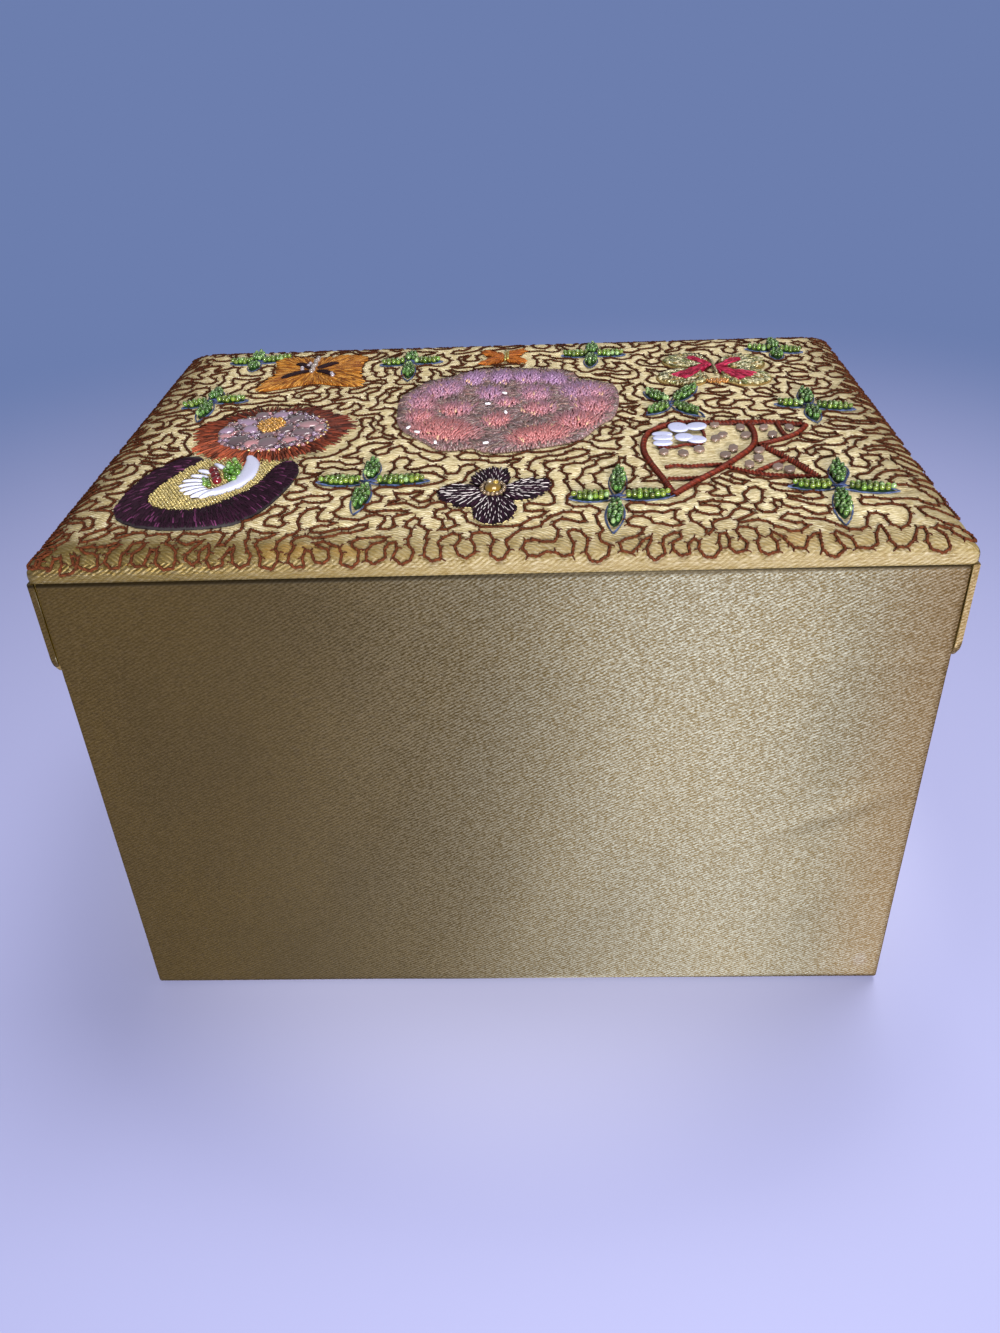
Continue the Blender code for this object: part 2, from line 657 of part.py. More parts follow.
def build_beadwork(body, colours):
    """The motifs sewn on the lid, each as a low relief of its own outline."""
    relief("peony", PEONY_PLACE, petals(10, PEONY_REACH_X, PEONY_REACH_Y, 0.22),
           ((0.98, 0.6), (0.84, 1.0), (0.60, 0.7), (0.42, 1.0), (0.16, 0.8), (0.0, 0.9)),
           PEONY_HEIGHT, body, colours["peony"])
    relief("rosette", ROSETTE_PLACE, petals(ROUND_STEPS, ROSETTE_REACH_X, ROSETTE_REACH_Y, 0.0, steps=1),
           ((0.98, 0.6), (0.88, 0.9), (0.74, 0.5), (0.68, 0.8), (0.32, 0.7), (0.22, 1.0), (0.0, 1.0)),
           ROSETTE_HEIGHT, body, colours["rosette"])
    crescent("crescent", body, colours["crescent"])
    relief("wing_oval", CRESCENT_PLACE, petals(20, WING_REACH_X, WING_REACH_Y, 0.0, steps=1),
           ((0.96, 0.7), (0.70, 1.0), (0.0, 1.0)), WING_HEIGHT, body, colours["gold"])
    relief("fish", FISH_PLACE, scaled(FISH_OUTLINE, FISH_REACH), ((0.97, 1.0), (0.0, 1.0)),
           FISH_HEIGHT, body, colours["thread"])
    relief("orange_butterfly", ORANGE_BUTTERFLY_PLACE,
           scaled(ORANGE_BUTTERFLY_OUTLINE, ORANGE_BUTTERFLY_REACH), ((0.95, 0.8), (0.4, 0.9), (0.0, 1.0)),
           BUTTERFLY_HEIGHT, body, colours["orange"])
    relief("beaded_butterfly", BEADED_BUTTERFLY_PLACE,
           petals(4, BEADED_BUTTERFLY_REACH_X, BEADED_BUTTERFLY_REACH_Y, 0.45, turn=45.0),
           ((0.95, 0.8), (0.4, 0.9), (0.0, 1.0)), BUTTERFLY_HEIGHT, body, colours["gold"])
    relief("small_flower", SMALL_FLOWER_PLACE,
           petals(4, SMALL_FLOWER_REACH, SMALL_FLOWER_REACH, 0.4, turn=45.0),
           ((0.9, 0.8), (0.0, 1.0)), PANSY_HEIGHT, body, colours["orange"])
    relief("pansy", PANSY_PLACE, petals(4, PANSY_REACH_X, PANSY_REACH_Y, 0.45),
           ((0.92, 0.8), (0.3, 0.7), (0.0, 1.0)), PANSY_HEIGHT, body, colours["crescent"])
    for name, (share_x, share_y, turn, lengths) in SPRIGS.items():
        relief(name, (share_x, share_y), leaf_cross(turn, lengths), ((0.85, 0.9), (0.0, 0.8)),
               SPRIG_HEIGHT, body, colours["leaf"])


def build_till(body, velvet, ribbon):
    """The half-width till: floor, walls, dividers, ring rolls and the tab to push it by."""
    left = TILL_SIDE_CLEARANCE - ROOM_X
    right = left + TILL_WIDTH
    front = ROOM_FRONT + TILL_END_CLEARANCE
    rear = ROOM_REAR - TILL_END_CLEARANCE
    bottom = LEDGE_TOP + GLUE_LINE
    floor_top = bottom + TILL_FLOOR
    top = bottom + TILL_HEIGHT
    block("till_floor", (left, right), (front, rear), (bottom, floor_top), velvet, body)
    wall_z = (floor_top + GLUE_LINE, top)
    block("till_front", (left, right), (front, front + TILL_BOARD), wall_z, velvet, body)
    block("till_rear", (left, right), (rear - TILL_BOARD, rear), wall_z, velvet, body)
    inner_front = front + TILL_BOARD + GLUE_LINE
    inner_rear = rear - TILL_BOARD - GLUE_LINE
    block("till_left", (left, left + TILL_BOARD), (inner_front, inner_rear), wall_z, velvet, body)
    block("till_right", (right - TILL_BOARD, right), (inner_front, inner_rear), wall_z, velvet, body)

    inner_left = left + TILL_BOARD + GLUE_LINE
    inner_right = right - TILL_BOARD - GLUE_LINE
    divider_z = (wall_z[0], top - DIVIDER_DROP)
    rolls_front = inner_rear - ROLL_COUNT * (ROLL_WIDTH + GLUE_LINE)
    divider_y = (rolls_front - DIVIDER, rolls_front)
    block("till_divider_cross", (inner_left, inner_right), divider_y, divider_z, velvet, body)
    middle = (inner_left + inner_right) / 2
    block("till_divider_long", (middle - DIVIDER / 2, middle + DIVIDER / 2),
          (inner_front, divider_y[0] - GLUE_LINE), divider_z, velvet, body)
    for index in range(ROLL_COUNT):
        roll_y = rolls_front + GLUE_LINE + index * (ROLL_WIDTH + GLUE_LINE)
        ring_roll(f"ring_roll_{index + 1}", (inner_left, inner_right), roll_y, wall_z[0], body, velvet)
    tab_x = right - TILL_BOARD / 2
    tab_low = top + GLUE_LINE
    block("till_tab", (tab_x - TAB_THICKNESS / 2, tab_x + TAB_THICKNESS / 2),
          (-TILL_TAB_WIDTH / 2, TILL_TAB_WIDTH / 2), (tab_low, tab_low + TILL_TAB_HEIGHT), ribbon, body)


def main():
    """Empty the scene and build the box, its lid and its till."""
    for old in list(bpy.data.objects):
        bpy.data.objects.remove(old, do_unlink=True)
    satin = surface("gold_satin", (0.62, 0.53, 0.31), 0.42)
    board = surface("grey_board", (0.42, 0.36, 0.29), 0.85)
    foam = surface("white_foam", (0.86, 0.84, 0.78), 0.90)
    cloth = surface("base_felt", (0.20, 0.17, 0.15), 0.95)
    velvet = surface("rose_velvet", (0.46, 0.13, 0.17), 0.80)
    ribbon = surface("gold_ribbon", (0.66, 0.50, 0.22), 0.45)
    braid = surface("gold_braid", (0.70, 0.52, 0.20), 0.40, 0.3)
    glass = surface("mirror_glass", (0.90, 0.92, 0.93), 0.03, 1.0)
    colours = {
        "peony": surface("lilac_beads", (0.50, 0.26, 0.36), 0.25),
        "rosette": surface("rust_beads", (0.42, 0.13, 0.06), 0.35),
        "crescent": surface("plum_beads", (0.05, 0.015, 0.07), 0.30),
        "gold": surface("gold_beads", (0.60, 0.52, 0.24), 0.25),
        "orange": surface("orange_thread", (0.48, 0.20, 0.03), 0.45),
        "thread": surface("russet_thread", (0.30, 0.06, 0.04), 0.60),
        "leaf": surface("green_beads", (0.10, 0.26, 0.06), 0.20),
    }
    box = carrier("box_frame", (0.0, 0.0, 0.0))
    lid = carrier("lid_hinge_axis", (0.0, REAR, HINGE_LEVEL))
    till = carrier("till_slide_axis", (0.0, 0.0, LEDGE_TOP))
    build_walls(box, board, satin, cloth)
    build_hinge_cloth(box, satin)
    build_linings(box, velvet, board)
    build_stays(box, ribbon)
    build_lid_shell(lid, board, satin, foam)
    build_lid_lining(lid, velvet, glass, braid, ribbon)
    build_beadwork(lid, colours)
    build_till(till, velvet, ribbon)


main()
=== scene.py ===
"""The looks of a satin-covered jewelry box with beadwork on its padded lid.

Metres, +Z up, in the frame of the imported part. Places in the beadwork are in millimetres, as the lid
is seen from behind the box: first to the right, then away from the rear edge.
"""
import json
import math

import bmesh
import bpy
import numpy as np
from mathutils import Matrix, Vector


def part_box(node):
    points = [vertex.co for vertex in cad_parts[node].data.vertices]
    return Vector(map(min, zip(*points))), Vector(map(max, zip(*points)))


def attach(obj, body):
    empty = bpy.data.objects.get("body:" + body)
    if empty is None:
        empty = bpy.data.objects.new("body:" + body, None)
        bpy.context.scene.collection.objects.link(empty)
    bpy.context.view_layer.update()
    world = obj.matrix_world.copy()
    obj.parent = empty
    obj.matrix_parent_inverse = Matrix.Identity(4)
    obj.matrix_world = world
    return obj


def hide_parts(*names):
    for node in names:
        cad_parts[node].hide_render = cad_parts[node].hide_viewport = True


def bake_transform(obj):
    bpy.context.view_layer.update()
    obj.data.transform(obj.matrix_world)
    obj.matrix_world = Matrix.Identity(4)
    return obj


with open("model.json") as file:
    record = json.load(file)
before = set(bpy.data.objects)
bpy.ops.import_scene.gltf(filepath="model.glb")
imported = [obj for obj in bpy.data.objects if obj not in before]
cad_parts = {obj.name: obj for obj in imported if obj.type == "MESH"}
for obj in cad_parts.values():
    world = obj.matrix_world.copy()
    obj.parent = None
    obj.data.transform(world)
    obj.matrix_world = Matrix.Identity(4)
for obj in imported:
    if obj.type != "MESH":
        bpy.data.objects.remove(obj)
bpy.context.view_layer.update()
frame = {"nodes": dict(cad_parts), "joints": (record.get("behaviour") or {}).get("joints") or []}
MM = 0.001
rng = np.random.default_rng(28)

# The lid and the body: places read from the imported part, and the roundings that it was built with
LID_LOW, LID_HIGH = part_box("lid_cover")
HALF_X, HALF_Y = LID_HIGH.x, LID_HIGH.y
PAD_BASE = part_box("lid_board")[1].z
PAD_ROUND, PAD_RISE, PAD_CROWN = 0.0130, 0.0053, 0.0017
FRONT_CORNER, REAR_CORNER = 0.0064, 0.0030
BODY_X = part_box("body_cover")[1].x
BODY_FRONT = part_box("body_cover")[0].y
WALL_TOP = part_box("rear_cover")[1].z
WALL_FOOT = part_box("rear_cover")[0].z
BODY_CORNER = 0.0039
WALL_EDGE = 0.0004
HINGE = np.array((HALF_Y, (WALL_TOP + LID_LOW.z) / 2))


def linear(*colour):
    """A colour of 0 to 255 as shaders take it."""
    return tuple(np.power((np.array(colour, float) / 255 + 0.055) / 1.055, 2.4))


def linears(*colours):
    return np.array([linear(*colour) for colour in colours])


def mixed(first, second, share):
    """A colour or place on the way from a first one to a second one."""
    return np.asarray(first) + (np.asarray(second) - first) * share


def joined(*parts):
    """Numbers side by side along a new last axis, as places, sizes or directions."""
    return np.stack(np.broadcast_arrays(*parts), -1)


def unit(ways, least=0.0):
    """Directions with a length of 1."""
    return ways / (np.linalg.norm(ways, axis=-1, keepdims=True) + least)


def left_of(ways):
    """Directions in plan, a quarter turn to the left of others."""
    return unit(joined(-ways[..., 1], ways[..., 0]))


def heading_of(ways):
    return np.arctan2(ways[..., 1], ways[..., 0])


def rotated(ways, angle):
    """Offsets in a plane, turned by an angle."""
    c, s = np.cos(angle), np.sin(angle)
    return joined(ways[..., 0] * c - ways[..., 1] * s, ways[..., 0] * s + ways[..., 1] * c)


def run_along(line):
    """How far along a line each of its points lies."""
    return np.concatenate([[0], np.cumsum(np.linalg.norm(np.diff(line, axis=0), axis=1))])


def part_xy(plan):
    """Places in the beadwork as x and y in the part."""
    return -plan[..., 0] * MM, HALF_Y - plan[..., 1] * MM


# Finishes


class Link:
    """A value that varies over a surface. Arithmetic on it adds Math nodes."""

    def __init__(self, finish, socket):
        self.finish = finish
        self.socket = socket

    def math(self, operation, first, second=0.0):
        return self.finish.node("ShaderNodeMath", {"operation": operation}, {0: first, 1: second})

    def __add__(self, other):
        return self.math("ADD", self, other)

    def __sub__(self, other):
        return self.math("SUBTRACT", self, other)

    def __rsub__(self, other):
        return self.math("SUBTRACT", other, self)

    def __mul__(self, other):
        return self.math("MULTIPLY", self, other)

    def __pow__(self, other):
        return self.math("POWER", self, other)

    def sine(self):
        return self.math("SINE", self)

    def least(self, other):
        return self.math("MINIMUM", self, other)

    def most(self, other):
        return self.math("MAXIMUM", self, other)

    def between(self, low, high):
        """0 below low, 1 above high and smooth between."""
        values = {0: self, 1: low, 2: high}
        return self.finish.node("ShaderNodeMapRange", {"interpolation_type": "SMOOTHSTEP"}, values)

    __radd__ = __add__
    __rmul__ = __mul__


class Finish:
    """A procedural material round one Principled shader."""

    def __init__(self, name, **constants):
        self.material = bpy.data.materials.new(name)
        self.material.use_nodes = True
        self.tree = self.material.node_tree
        self.shader = self.tree.nodes["Principled BSDF"]
        for word, value in constants.items():
            self.shader.inputs[word.replace("_", " ").title().replace("Ior", "IOR")].default_value = value

    def node(self, kind, settings=None, values=None, output=0):
        made = self.tree.nodes.new(kind)
        for word, value in (settings or {}).items():
            if word == "stops":
                ramp = made.color_ramp.elements
                while len(ramp) < len(value):
                    ramp.new(1.0)
                for stop, (place, colour) in zip(ramp, value):
                    stop.position = place
                    stop.color = (*colour, 1.0)
            else:
                setattr(made, word, value)
        for key, value in (values or {}).items():
            if isinstance(value, Link):
                self.tree.links.new(value.socket, made.inputs[key])
            else:
                made.inputs[key].default_value = value
        return Link(self, made.outputs[output])

    def first_two(self, kind, value):
        """The first two parts of a place or colour."""
        parts = self.node(kind, None, {0: value}).socket.node.outputs
        return Link(self, parts[0]), Link(self, parts[1])

    def cloth(self):
        """The two places along the cloth, in millimetres."""
        return self.first_two("ShaderNodeSeparateXYZ", self.node("ShaderNodeUVMap", {"uv_map": "cloth"}))

    def vector(self, *parts):
        return self.node("ShaderNodeCombineXYZ", None, dict(enumerate(parts)))

    def solid(self):
        """The place in the part, in metres."""
        return self.node("ShaderNodeTexCoord", None, None, "Object")

    def noise(self, place, scale, detail=2.0, rough=0.5):
        values = {"Vector": place, "Scale": scale, "Detail": detail, "Roughness": rough}
        return self.node("ShaderNodeTexNoise", None, values)

    def tint(self):
        """The colour given to each bead or thread."""
        return self.node("ShaderNodeAttribute", {"attribute_name": "tint"})

    def mix(self, share, first, second, how="MIX"):
        first, second = [(*c, 1.0) if isinstance(c, tuple) else c for c in (first, second)]
        settings = {"data_type": "RGBA", "blend_type": how}
        return self.node("ShaderNodeMix", settings, {0: share, 6: first, 7: second}, 2)

    def bump(self, height, strength, depth):
        return self.node("ShaderNodeBump", None, {"Strength": strength, "Distance": depth, "Height": height})

    def show(self, **links):
        for word, value in links.items():
            self.tree.links.new(value.socket, self.shader.inputs[word.replace("_", " ").title()])
        return self.material


def spot(finish, u, v, middle, reach):
    """A soft round patch on the cloth, 1 at its middle."""
    away_u = (u - middle[0]) * (1.0 / reach[0])
    away_v = (v - middle[1]) * (1.0 / reach[1])
    distance = (away_u * away_u + away_v * away_v) ** 0.5
    rough = finish.noise(finish.vector(u, v, 0.0), 0.22, 3.0)
    return 1.0 - (distance + (rough - 0.5) * 0.7).between(0.35, 1.0)


def satin(name, colour, deep, **constants):
    """Gold satin: a fine twill, and threads that run along the width, painted lighter where they would catch
    the light (a painted sheen), over darker, matt places.
    """
    finish = Finish(name, **constants)
    u, v = finish.cloth()
    sway = finish.noise(finish.vector(u, v, 0.0), 0.16, 2.0)
    twill = ((u * 0.5 + v * 0.87 + sway * 1.2) * (math.tau / 1.05)).sine()
    floats = finish.noise(finish.vector(u * 0.3, v * 1.7, 0.0), 1.0, 3.0, 0.68)
    flecks = finish.noise(finish.vector(u * 0.95, v * 1.8, 3.0), 1.1, 2.0, 0.75)
    broad = finish.noise(finish.vector(u * 0.02, v * 0.014, 0.0), 1.0, 3.0)
    ground = finish.mix(broad.between(0.3, 0.7), colour, tuple(0.84 * c for c in colour))
    ground = finish.mix(1.0 - floats.between(0.34, 0.52), ground, deep)
    return finish, u, v, ground, twill, floats, flecks


def lid_satin():
    finish, u, v, ground, twill, floats, flecks = satin(
        "lid satin", linear(206, 190, 140), linear(140, 116, 68),
        roughness=0.5, metallic=0.0, specular_ior_level=0.4)
    # The tint holds a painted shade along the cords, and the pull of the stitches
    shade, pull = finish.first_two("ShaderNodeSeparateColor", finish.tint())
    # Painted highlights: floats, flecks and the threads that the stitches pull are painted near white as
    # glints
    glow = floats.between(0.49, 0.6) * (pull * 0.6 + 0.5) + flecks.between(0.54, 0.7) * 0.4
    # Painted shadow: dark streaks between the floats where the stitches pull, as the shade of the puckers
    ground = finish.mix((1.0 - floats.between(0.38, 0.5)) * pull * 0.75, ground, linear(70, 50, 26))
    ground = finish.mix(glow.least(0.95), ground, linear(252, 243, 216))
    ground = finish.mix(twill.between(-0.4, 0.8) * 0.4, ground, linear(120, 96, 54))
    # Painted shade: the satin is painted browner towards the sides, the far edge, the near band and its left
    # end
    side = u.math("ABSOLUTE", u).between(112.0, 141.0).most((0.0 - v).between(74.0, 98.0) * 0.4)
    left = u.between(0.0, 120.0)
    near = v.between(81.0, 97.0) * (left * 0.1 + 0.8) + left * v.between(55.0, 95.0) * 0.25
    ground = finish.mix((side * 0.75).most(near).least(0.88), ground, linear(94, 76, 30))
    stain = spot(finish, u, v, (62.0, 95.0), (13.0, 4.0)).most(spot(finish, u, v, (44.0, 95.5), (7.0, 3.0)))
    stain = stain.most(spot(finish, u, v, (-88.0, 94.0), (10.0, 4.0)) * 0.6)
    ground = finish.mix(stain * 0.45, ground, linear(140, 104, 38))
    # Painted shade: the satin is painted darker along the cords
    ground = finish.mix(1.0 - shade, ground, linear(58, 40, 20))
    height = twill * 0.35 + floats * (pull * 1.6 + 1.0) + flecks * 0.4
    # Painted shade: metal over the dark ground takes the sheen off the near band's left end
    shaded_near_left = (near * left * 0.75).least(0.75)
    return finish.show(base_color=ground, metallic=shaded_near_left, normal=finish.bump(height, 0.85, 0.00026))


def wall_satin(name, colour, deep, crease_shadow=0.0):
    """The walls' satin: darker at one end, with less texture and a painted shade at the other, and a painted
    shadow along the hinge crease if so said.
    """
    finish, u, v, ground, twill, floats, flecks = satin(
        name, colour, deep, roughness=0.56, metallic=0.0, ior=1.95, anisotropic=0.96,
        anisotropic_rotation=0.25, specular_tint=(0.91, 1.0, 0.97, 1))
    # The flecks are painted a little lighter, as a painted sparkle
    ground = finish.mix(flecks.between(0.54, 0.7) * 0.07, ground, linear(112, 94, 50))
    edge = (0.0 - u).between(104.0, 139.0)
    ground = finish.mix(edge * 0.5, ground, linear(98, 72, 36))
    smudge = spot(finish, u, v, (-130.5, 11.0), (3.5, 5.0))
    ground = finish.mix(smudge * 0.1, ground, linear(130, 134, 150))
    # Painted shadow: the satin is painted dark along the hinge crease, in colour and by taking off its sheen
    crease = v.between(176.9, 178.1) * crease_shadow
    gaps = twill.between(-0.5, 0.7) * 0.42 + (1.0 - flecks.between(0.42, 0.56)) * 0.52 + edge * 0.08
    # One end of the wall gets less texture and is painted darker, a painted shade where the highlight does
    # not fall
    calm_shaded_end = u.between(-20.0, 90.0)
    gaps = (gaps * (1.3 - calm_shaded_end * 0.94) - 0.05 + calm_shaded_end * 0.35).most(crease * 0.85)
    shadow = linear(26, 18, 6)
    ground = finish.mix(calm_shaded_end * 0.05, ground, shadow)
    ground = finish.mix((gaps.between(0.3, 0.9) * 0.14).most(crease * 0.6), ground, shadow)
    height = twill * 0.25 + floats * 0.2 + flecks * 0.3
    return finish.show(
        base_color=ground, metallic=gaps.least(0.92) * 0.92,
        roughness=0.6 - flecks.between(0.5, 0.7) * 0.12, normal=finish.bump(height, 0.42, 0.0001))


def beads(name, **constants):
    """Glass beads, each in its own tint."""
    finish = Finish(name, **constants)
    cloud = finish.noise(finish.solid(), 900.0, 1.0)
    colour = finish.mix((cloud - 0.5) * 0.6 + 0.2, finish.tint(), (0.9, 0.9, 0.9), "MULTIPLY")
    return finish.show(base_color=colour, roughness=cloud * 0.16 + constants["roughness"] - 0.08)


def threads(name, **constants):
    """Embroidery thread, each strand in its own tint, with the fine lie of its fibres."""
    finish = Finish(name, **constants)
    fibre = finish.noise(finish.solid(), 2600.0, 2.0)
    colour = finish.mix(fibre.between(0.35, 0.65) * 0.35, finish.tint(), (0.35, 0.3, 0.3), "MULTIPLY")
    return finish.show(base_color=colour, normal=finish.bump(fibre, 0.35, 0.0001))


# Lid surface


def pad_inset(x, y):
    """How far places of the lid's plan lie inside its outline."""
    to_side = HALF_X - np.abs(x)
    to_end = HALF_Y - np.abs(y)
    corner = np.where(y > 0, REAR_CORNER, FRONT_CORNER)
    a, b = corner - to_side, corner - to_end
    root = np.maximum((a + b) ** 2 - 2 * (a * a + b * b - corner ** 2), 0.0)
    rounded = (np.sqrt(root) - a - b) / 2
    return np.where(np.abs(to_side - to_end) < corner, rounded, np.minimum(to_side, to_end))


def pad_height(x, y):
    """Height of the satin over the pad, before it puckers."""
    across = 1.0 - np.clip(pad_inset(x, y), 0.0, PAD_ROUND) / PAD_ROUND
    crown = PAD_CROWN * (1.0 - (x / HALF_X) ** 2) * (1.0 - (y / HALF_Y) ** 2)
    return PAD_BASE + PAD_RISE * np.sqrt(np.maximum(1.0 - across ** 2, 0.0)) + crown


def lid_place(plan, lift=0.0):
    """Points over the lid and the directions straight out of it, from places in millimetres."""
    x, y = part_xy(plan)
    step, steepest = 0.0002, 3
    slope_x = (pad_height(x + step, y) - pad_height(x - step, y)) / (2 * step)
    slope_y = (pad_height(x, y + step) - pad_height(x, y - step)) / (2 * step)
    up = unit(joined(-np.clip(slope_x, -steepest, steepest), -np.clip(slope_y, -steepest, steepest), 1.0))
    return joined(x, y, pad_height(x, y)) + up * np.asarray(lift)[..., None] * MM, up


# Meshes


class Heap:
    """Beads and threads that become one mesh."""

    def __init__(self):
        self.points, self.tints, self.faces, self.count = [], [], {}, 0

    def add(self, points, faces, tints):
        """Points, faces that count from 0, and one tint for each point."""
        points = np.asarray(points, float).reshape(-1, 3)
        self.points.append(points)
        self.tints.append(np.broadcast_to(np.asarray(tints, float), (len(points), 3)))
        for block in faces:
            block = np.asarray(block)
            self.faces.setdefault(block.shape[1], []).append(block + self.count)
        self.count += len(points)

    def mesh(self, name):
        points = np.concatenate(self.points).astype(np.float32)
        blocks = [np.concatenate(blocks) for _, blocks in sorted(self.faces.items())]
        corners = np.concatenate([block.ravel() for block in blocks]).astype(np.int32)
        sizes = np.concatenate([np.full(len(block), block.shape[1]) for block in blocks])
        starts = np.concatenate([[0], np.cumsum(sizes)[:-1]])
        mesh = bpy.data.meshes.new(name)
        mesh.vertices.add(len(points))
        mesh.vertices.foreach_set("co", points.ravel())
        mesh.loops.add(len(corners))
        mesh.loops.foreach_set("vertex_index", corners)
        mesh.polygons.add(len(sizes))
        mesh.polygons.foreach_set("loop_start", starts.astype(np.int32))
        mesh.polygons.foreach_set("use_smooth", np.ones(len(sizes), bool))
        mesh.update(calc_edges=True)
        mesh.validate()
        tint = mesh.color_attributes.new(name="tint", type="FLOAT_COLOR", domain="POINT")
        colours = np.ones((len(points), 4), np.float32)
        colours[:, :3] = np.concatenate(self.tints)
        tint.data.foreach_set("color", colours.ravel())
        return mesh


# Order of a quad's corners that turns its face round
OTHER_WAY = [0, 3, 2, 1]
# Lengths below this have no direction
TINY = 1e-12
# Height over the satin at which ground and patches start, in millimetres
LAID = 0.05
# Rise of a motif's ground: its share of the outline, and of the height there
DOME = ((1.0, 0.0), (0.97, 0.6), (0.88, 1.0), (0.6, 1.0), (0.3, 1.0))
# Distance between staggered rows, as a share of the spacing in a row
ROW_GAP = 0.87


def numbered(rows, count):
    """The numbers of points that lie in equal rows."""
    return np.arange(rows * count).reshape(rows, count)


def quads_over(number, closed=False):
    """Quads between neighbours in rows of point numbers. OTHER_WAY turns them to face the other way."""
    here, after = (number, np.roll(number, -1, 1)) if closed else (number[:, :-1], number[:, 1:])
    return np.stack([here[:-1], after[:-1], after[1:], here[1:]], -1).reshape(-1, 4)


def lofted(rows, closed=False):
    """Points and quads of a sheet through equal rows of points."""
    rows = np.asarray(rows)
    return rows.reshape(-1, 3), quads_over(numbered(*rows.shape[:2]), closed)


def lathe(profile, sides):
    """Unit points and faces of a form turned about its length, from (along, out) pairs."""
    angles = np.arange(sides) * math.tau / sides
    rings = [joined(x, r * np.cos(angles), r * np.sin(angles)) for x, r in profile]
    points = np.concatenate([[(profile[0][0], 0.0, 0.0)], *rings, [(profile[-1][0], 0.0, 0.0)]])
    number = numbered(len(profile), sides) + 1
    first, last = number[0], number[-1]
    caps = [joined(0, first, np.roll(first, -1)), joined(len(points) - 1, np.roll(last, -1), last)]
    return points, [quads_over(number, closed=True)[:, OTHER_WAY], np.concatenate(caps)]


SEED = lathe([(-0.82, 0.42), (-0.45, 0.9), (0.0, 1.0), (0.45, 0.9), (0.82, 0.42)], 8)
LENS = lathe([(-0.95, 0.3), (-0.75, 0.66), (-0.4, 0.92), (0.0, 1.0), (0.4, 0.92), (0.75, 0.66), (0.95, 0.3)],
             12)
BUGLE = lathe([(-1.0, 0.62), (-0.94, 0.95), (0.0, 1.0), (0.94, 0.95), (1.0, 0.62)], 6)


def plate(sides, rim):
    """A flat form: a disc of so many sides with its edge rounded."""
    profile = [(-1.0, 0.8), (-0.3, 0.98), (0.4, 1.0), (0.85, rim), (1.0, rim - 0.14), (1.0, 0.3)]
    points, faces = lathe(profile, sides)
    return points[:, [1, 2, 0]], faces


DISC = plate(18, 0.93)
HEXAGON = plate(6, 0.92)
STRAND = lathe([(-1.0, 0.25), (-0.93, 0.8), (-0.5, 1.0), (0.0, 1.0), (0.5, 1.0), (0.93, 0.8), (1.0, 0.25)], 6)


def scatter(heap, form, plan, heading, lift, size, tint, spread=0.0, arch=0.0, glow=0.0):
    """Copies of a form over the lid: places and sizes in millimetres, headings in radians. The tint is one
    for each copy, or one of 0 to 255 that each copy varies by the spread. Glow is painted light: each copy
    is painted darker at its top and lighter at its underside, the other way round when glow is below 0."""
    plan = np.atleast_2d(np.asarray(plan, float))
    count = len(plan)
    if isinstance(tint, tuple):
        tint = varied(linear(*tint), count, spread) if spread else linear(*tint)
    corners, faces = form
    heading = np.broadcast_to(heading, count)
    size = np.broadcast_to(size, (count, 3)) * MM
    centre, up = lid_place(plan, np.broadcast_to(lift, count))
    along = joined(-np.cos(heading), -np.sin(heading), 0.0)
    along = unit(along - up * (along * up).sum(-1, keepdims=True))
    bent = corners * size[:, None]
    bent[..., 2] += arch * MM * (1 - corners[:, 0] ** 2)
    points = centre[:, None] + np.einsum("nka,nab->nkb", bent, np.stack([along, np.cross(up, along), up], 1))
    # Painted light: each copy is darker at its top and lighter at its underside by its glow
    tints = np.broadcast_to(tint, (count, 3))[:, None] * (1.0 - glow * corners[:, 2])[None, :, None]
    numbers = (np.arange(count) * len(corners))[:, None, None]
    blocks = [(block + numbers).reshape(-1, block.shape[1]) for block in faces]
    heap.add(points, blocks, np.clip(tints, 0, 1).reshape(-1, 3))


def tube(heap, plan, radius, lift, tint, flat=1.0, sides=6, closed=False, twist=None):
    """A thread along a line on the lid. Twist is its offset, the length of a turn and its first angle."""
    points, up = lid_place(plan, lift)
    ahead = np.roll(points, -1, 0) - np.roll(points, 1, 0) if closed else np.gradient(points, axis=0)
    side = unit(np.cross(up, unit(ahead, TINY)), TINY)
    if twist:
        offset, turn, start = twist
        phase = (run_along(plan) / turn * math.tau + start)[:, None]
        points = points + (side * np.cos(phase) + up * np.sin(phase)) * offset * MM
    angles = (np.arange(sides) * math.tau / sides)[:, None]
    out = np.cos(angles) * side[:, None] + flat * np.sin(angles) * up[:, None]
    number = numbered(len(points), sides)
    ends = [] if closed else [number[:1, ::-1], number[-1:]]
    if closed:
        number = np.concatenate([number, number[:1]])
    tint = np.asarray(tint, float)
    heap.add(points[:, None] + out * radius * MM, [quads_over(number, closed=True)[:, OTHER_WAY], *ends],
             np.repeat(tint, sides, 0) if tint.ndim == 2 else tint)


def patch(heap, outline, height, tint):
    """A low domed ground under beads, over an outline that its middle sees all of."""
    centre = outline.mean(0)
    rows = [lid_place(mixed(centre, outline, share), LAID + height * lift)[0] for share, lift in DOME]
    peak, _ = lid_place(centre[None], LAID + height)
    points, quads = lofted(rows, closed=True)
    rim = np.arange(len(points) - len(outline), len(points))
    fan = joined(rim, np.roll(rim, -1), len(points))
    heap.add(np.concatenate([points, peak]), [quads[:, ::-1], fan[:, ::-1]], linear(*tint))


